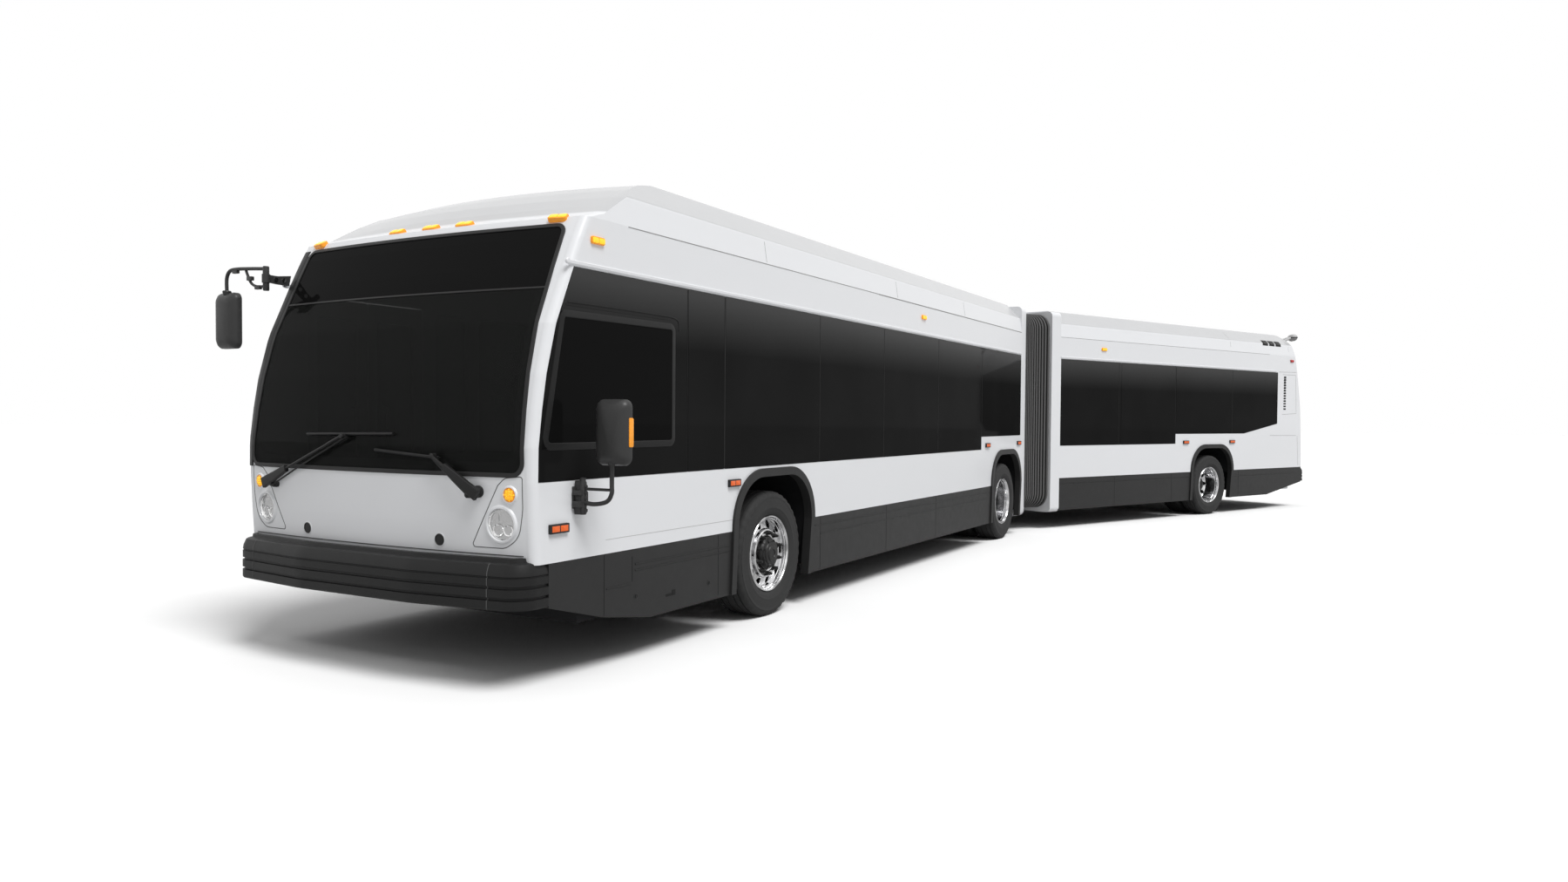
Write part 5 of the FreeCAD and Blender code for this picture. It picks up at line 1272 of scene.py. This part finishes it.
for at in ((-7.957, 1.18, 3.15), (-8.09, 1.08, 3.155)):
    foot = rear_skin.seen((-7.7, at[1] - 0.1, 4.0), (0, 0, -1))[0] - Vector((0, 0, 0.01))
    arm = [foot, foot.lerp(Vector(at), 0.6) + Vector((0, 0, 0.016)), Vector(at) + Vector((0, 0, 0.02))]
    cameras.tube(eased(arm, 5), 0.02)
    dome = (
        (0.066, 0.0), (0.06, 0.036), (0.04, 0.06), (0.012, 0.072), (0.004, 0.076), (-0.006, 0.07),
        (-0.032, 0.06), (-0.054, 0.036), (-0.064, 0.0),
    )
    for part, kind in ((dome[:4], 0), (dome[3:6], 2), (dome[5:], 1)):
        cameras.turned(part, at, "z", 32, kind)
piece("rear_cameras", ON_REAR, "seam_light seam_grey black_trim", cameras)

tail = Shape()
rows = []
for point, out in bumper_line(8.095, 8.305, 0.07):
    spots = [(point - out * inset, z) for inset, z in BUMPER_SECTION]
    rows.append([Vector((-spot.x, spot.y, 0.47 + (z - 0.482) * 0.9)) for spot, z in spots])
tail.solid(rows)
piece("rear_bumper_cover", ON_REAR, "bumper", tail, 30, "rear_bumper")

lamps = Shape()
for side in (1, -1):
    for z, kind in ((0.9, 1), (1.06, 2), (1.22, 1), (1.38, 3)):
        spot = frame_at(on_tail, side * 1.06, z)
        ring = [(-0.02, 0.064), (0.004, 0.064), (0.009, 0.061), (0.009, 0.056), (0.004, 0.054)]
        lens = [(0.004, 0.0545), (0.01, 0.05), (0.016, 0.036), (0.019, 0.018), (0.02, 0.0)]
        button(lamps, spot, ring, 40)
        button(lamps, spot, lens, 40, kind)
piece(
    "round_tail_lamps", ON_REAR, "black_trim lamp_red amber lamp_white", lamps, 40, "tail_lamps",
)
lamps = Shape()
for y in (-1.07, -0.31, 0.0, 0.31, 1.07):
    lamp_block(lamps, frame_at(on_tail, y, 2.715), 0.12, 0.044, 0.014)
lamp_block(lamps, frame_at(on_tail, 0.0, 2.6), 0.42, 0.05, 0.016)
piece("rear_top_lamps", ON_REAR, "red_bezel lamp_red", lamps)

lid = Shape()
for side in (1, -1):
    for k in range(9):
        z = 1.335 + 0.033 * k
        slat = [(-0.013, -0.002), (-0.012, 0.001), (0.006, 0.01), (0.01, 0.008), (0.011, -0.002)]
        line_on(lid, on_tail, [(side * 0.12, z), (side * 0.78, z)], slat, 0, 0.08)
    frame_line = box_loop(side * 0.09, side * 0.81, 1.31, 1.628, 0.02)
    lid.strip(laid(on_tail, frame_line, 0.08), band(0.012, 0.006, 0.003))
    latch = frame_at(on_tail, side * 0.62, 0.9)
    block(lid, latch, oblong(0.055, 0.022, 0.01), -0.003, 0.005, 1, 0.003)
    block(lid, latch, box_loop(-0.04, 0.03, -0.009, 0.009, 0.006), 0.003, 0.014, 0, 0.004)
blank_plate = frame_at(on_tail, 0.0, 1.02)
block(lid, blank_plate, oblong(0.165, 0.085, 0.012), -0.003, 0.006, 0, 0.003)
block(lid, blank_plate, oblong(0.152, 0.076, 0.01), 0.004, 0.0085, 2, 0.002)
block(lid, frame_at(on_tail, 0.0, 1.13), oblong(0.05, 0.014, 0.006), -0.003, 0.026, 1, 0.006)
piece("engine_door_fittings", ("engine_door", REAR), "groove_black bumper body_white", lid, 30)

# roof hatches, flush in the middle of each roof
for name, where, skin, places in (
    ("front_roof_hatches", ON_FRONT, front_skin, (-1.2, -4.9)),
    ("rear_roof_hatches", ON_REAR, rear_skin, (-2.6, -5.6)),
):
    lines = Shape()

    def top(x, y):
        return skin.seen((x, y, 4.0), (0, 0, -1))

    for x in places:
        lines.strip(
            laid(top, box_loop(x - 0.31, x + 0.31, -0.31, 0.31, 0.05), 0.1), band(0.02, 0.004, 0.003), 1
        )
        for y in (-0.22, 0.22):
            patch(lines, top, box_loop(x - 0.3, x - 0.24, y - 0.03, y + 0.03), 0.006)
    piece(name, where, "black_trim seam_grey", lines)


# ---------------------------------------------------------------- seats
def cushion(shape, place, long, wide, thick):
    """Crowned pad, flat where it rests, with sides that pull in between its corners and a sewn channel."""
    rows = []
    for level, inset in (
        (0.0, 0.012), (0.25, 0.002), (0.55, 0.0), (0.8, 0.01), (0.9, 0.028), (0.97, 0.06), (1.0, 0.105)
    ):
        row = []
        a, b = long / 2, wide / 2
        for x, y in dense(oblong(a, b, 0.045), 0.06):
            pull = 0.01 * (1 - (x / a) ** 2) * abs(y / b) ** 4, 0.01 * (1 - (y / b) ** 2) * abs(x / a) ** 4
            x, y = x - math.copysign(pull[1], x), y - math.copysign(pull[0], y)
            sunk = 0.1 * math.exp(-((abs(x) - a * 0.45) / 0.012) ** 2) if level > 0.85 else 0
            row.append(place @ Vector((x * (1 - inset / a), y * (1 - inset / b), thick * (level - sunk))))
        rows.append(row)
    return shape.solid(rows)


SEAT_TIP, BACK_LEAN = math.radians(-1.5), math.atan2(0.09, 0.53)


def seat_pads(name, where, places, width):
    pads = Shape()
    for x, y, floor in places:
        cushion(pads, placed((x + 0.045, y, floor + 0.455), SEAT_TIP, "Y"), 0.34, width, 0.05)
        cushion(pads, placed((x - 0.176, y, floor + 0.72), math.pi / 2 - BACK_LEAN, "Y"), 0.44, width, 0.042)
    piece(name, where, "seat", pads, 60)


FLOOR_Z, DECK_Z, BENCH_Z = 0.4, 0.76, 1.3  # heights that the seats stand on
AISLE = 0.96  # how far the seats' middles lie from the centre line
FRONT_SEATS = [(x, AISLE, FLOOR_Z) for x in (-1.05, -1.85, -2.65, -3.45, -4.25, -5.0)]
FRONT_SEATS += [(x, -AISLE, FLOOR_Z) for x in (-1.05, -1.8, -4.15, -5.0)]
REAR_SEATS = [(x, AISLE, FLOOR_Z) for x in (-1.5, -2.3, -3.1)] + [(-1.5, -AISLE, FLOOR_Z)]
REAR_SEATS += [(-4.15, AISLE, DECK_Z), (-5.9, AISLE, DECK_Z), (-5.9, -AISLE, DECK_Z)]
REAR_SEATS += [(-7.3, y, BENCH_Z) for y in (-AISLE, -0.4, 0.4, AISLE)]
seat_pads("front_seat_pads", ON_FRONT, FRONT_SEATS, 0.43)
seat_pads("rear_seat_pads", ON_REAR, REAR_SEATS, 0.42)
seat_pads("driver_seat_pads", ON_FRONT, [(1.56, 0.64, FLOOR_Z)], 0.43)


# ---------------------------------------------------------------- engine
def engine():
    """Diesel behind the rear lid: sump, crankcase, head and covers, pulleys, belt, filter and hoses."""
    shape = Shape()
    half = ((0.0, 0.42), (0.19, 0.42), (0.23, 0.45), (0.25, 0.59), (0.34, 0.61), (0.355, 0.64), (0.345, 0.93),
            (0.3, 0.95), (0.3, 1.06), (0.23, 1.075), (0.215, 1.14), (0.19, 1.149), (0.0, 1.149))
    outline = list(half) + [(-y, z) for y, z in reversed(half[1:-1])]
    shape.slab(outline, "x", -7.56, -6.505, 0, 0.01)
    for k in range(7):
        x = -7.48 + 0.15 * k
        for side in (1, -1):
            rib = box_loop(x - 0.012, x + 0.012, 0.64, 0.925, 0.006)
            shape.slab(rib, "y", *sorted((side * 0.33, side * 0.375)), 0, 0.004)
            plug = [(0.0, 0.03), (side * 0.02, 0.03), (side * 0.028, 0.022), (side * 0.028, 0.0)]
            shape.turned(plug, (x + 0.075, side * 0.3, 1.005), "y", 20, 1)
    pulleys = (
        (0.0, 0.7, 0.135), (0.235, 0.83, 0.06), (0.16, 1.04, 0.055), (-0.17, 1.03, 0.07), (-0.255, 0.78, 0.05)
    )
    for y, z, radius in pulleys:
        groove = [
            (-7.56, 0.03), (-7.6, radius), (-7.608, radius), (-7.616, radius - 0.01), (-7.636, radius - 0.01),
            (-7.644, radius), (-7.652, radius), (-7.652, radius * 0.72), (-7.64, radius * 0.66),
            (-7.64, 0.028),
            (-7.664, 0.024), (-7.666, 0.0),
        ]
        shape.turned(groove, (0, y, z), "x", 40, 1)
    belt = []
    for i, (y, z, radius) in enumerate(pulleys):
        before, after = pulleys[i - 1], pulleys[(i + 1) % len(pulleys)]
        into = Vector((y - before[0], z - before[1])).normalized()
        out = Vector((after[0] - y, after[1] - z)).normalized()
        for share in (0.0, 0.25, 0.5, 0.75, 1.0):
            along = into.lerp(out, share).normalized()
            belt.append(Vector((y, z)) + Vector((along.y, -along.x)) * (radius - 0.006))
    belt_path = []
    for i, point in enumerate(belt):
        along = (belt[(i + 1) % len(belt)] - belt[i - 1]).normalized()
        belt_path.append((Vector((-7.626, point.x, point.y)), Vector((0, along.y, -along.x))))
    shape.strip(belt_path, [(-0.009, -0.002), (-0.009, 0.004), (0.009, 0.004), (0.009, -0.002)], 2)
    filter_case = [
        (-0.2, 0.0), (-0.2, 0.085), (-0.185, 0.098), (-0.14, 0.1), (-0.135, 0.106), (-0.12, 0.106),
        (-0.115, 0.1), (0.16, 0.098), (0.19, 0.06), (0.2, 0.0),
    ]
    shape.turned(filter_case, (-7.2, 0.335, 1.035), "x", 36, 2)
    for radius, *line in (
        (
            0.03, (-7.4, 0.335, 1.035), (-7.46, 0.32, 1.04), (-7.53, 0.22, 1.07), (-7.54, 0.05, 1.1),
            (-7.5, -0.1, 1.115),
        ),
        (
            0.026, (-7.56, -0.2, 0.56), (-7.68, -0.24, 0.55), (-7.74, -0.34, 0.62), (-7.74, -0.38, 0.8),
            (-7.66, -0.36, 0.95), (-7.52, -0.28, 1.02),
        ),
        (
            0.02, (-7.56, 0.14, 0.5), (-7.66, 0.2, 0.48), (-7.72, 0.33, 0.52), (-7.7, 0.4, 0.7),
            (-7.6, 0.38, 0.86),
        ),
    ):
        shape.tube(eased(line), radius, 2, 14)
    starter = [(-6.9, 0.0), (-6.9, 0.11), (-6.86, 0.12), (-6.6, 0.12), (-6.56, 0.11), (-6.56, 0.0)]
    shape.turned(starter, (0, -0.3, 0.83), "x", 36, 1)
    piece("diesel_engine", ON_REAR, "steel hoop black_trim", shape, stands_for="engine")


engine()

# ---------------------------------------------------------------- camera, lights and floor
CAMERA_AT = Vector((7.1175, 5.3446, 1.5882))  # in the front section
CAMERA_YAW, CAMERA_PITCH, CAMERA_ROLL = (math.radians(a) for a in (-151.066, -1.485, 0.414))
LENS_MM, FILM_MM, SHIFT = 23.5486, 36, (-0.00259, 0.00208)
SEEN_TO, FLOOR_REACH = 500, 150
FLOOR_TONE, FLOOR_SEEN = 0.6, 1.0  # the floor as a lamp's light meets it, and as the camera sees it
KEY_FALLS, KEY_STRENGTH, KEY_SPREAD = (-0.1, -0.345, -0.6), 2.5, 28


def camera():
    look = Vector((math.cos(CAMERA_YAW), math.sin(CAMERA_YAW), math.tan(CAMERA_PITCH))).normalized()
    right = look.cross(Vector((0, 0, 1))).normalized()
    up = right.cross(look)
    cos, sin = math.cos(CAMERA_ROLL), math.sin(CAMERA_ROLL)
    axes = (right * cos + up * sin, up * cos - right * sin, -look)
    lens = bpy.data.cameras.new("camera")
    lens.lens, lens.sensor_width = LENS_MM, FILM_MM
    lens.shift_x, lens.shift_y = SHIFT
    lens.clip_end = SEEN_TO
    made = put("camera", lens)
    made.matrix_world = Matrix.Translation(FRONT @ CAMERA_AT) @ Matrix(axes).transposed().to_4x4()
    bpy.context.scene.camera = made


def sun(name, direction, strength, spread):
    light = bpy.data.lights.new(name, "SUN")
    light.energy, light.angle = strength, math.radians(spread)
    made = put(name, light)
    made.rotation_mode = "QUATERNION"
    made.rotation_quaternion = Vector(direction).to_track_quat("-Z", "Y")


class Surround(Finish):
    """The world's own nodes: white where it is seen, and dimmer light from above."""

    def __init__(self, name):
        world = bpy.data.worlds.new(name)
        bpy.context.scene.world = world
        world.use_nodes = True
        self.tree = world.node_tree
        self.shader = self.tree.nodes["Background"]
        self.shader.inputs["Color"].default_value = (1, 1, 1, 1)


HORIZON, OVERHEAD, AHEAD = 0.09, 0.5, 0.18  # light from low down, from straight above and from in front


def studio():
    room = Surround("studio")
    height, forward = (room.part("Generated", axis) for axis in "ZX")
    rays = [
        room.node("ShaderNodeLightPath", {}, {}, f"Is {kind} Ray")
        for kind in ("Camera", "Glossy", "Transmission")
    ]
    seen = rays[0].maths("MAXIMUM", rays[0].maths("MAXIMUM", *rays[:2]), rays[2])
    level = HORIZON + (OVERHEAD - HORIZON) * height.clamped(1.0) + AHEAD * forward.clamped(1.0)
    room.vary("Strength", level + (1 - level) * seen)
    sun("key", KEY_FALLS, KEY_STRENGTH, KEY_SPREAD)
    floor_finish = Finish("studio_floor", Specular_IOR_Level=0.0, Roughness=1.0)
    ray = floor_finish.node("ShaderNodeLightPath", {}, {}, "Is Camera Ray")
    floor_finish.vary("Base Color", floor_finish.blend(ray, FLOOR_TONE, FLOOR_SEEN))
    mesh = bpy.data.meshes.new("studio_floor")
    corners = [(a * FLOOR_REACH, b * FLOOR_REACH, 0) for a, b in ((-1, -1), (1, -1), (1, 1), (-1, 1))]
    mesh.from_pydata(corners, [], [(0, 1, 2, 3)])
    mesh.materials.append(floor_finish.material)
    made = put("studio_floor", mesh)
    bpy.context.scene.view_settings.view_transform = "Standard"


camera()
studio()
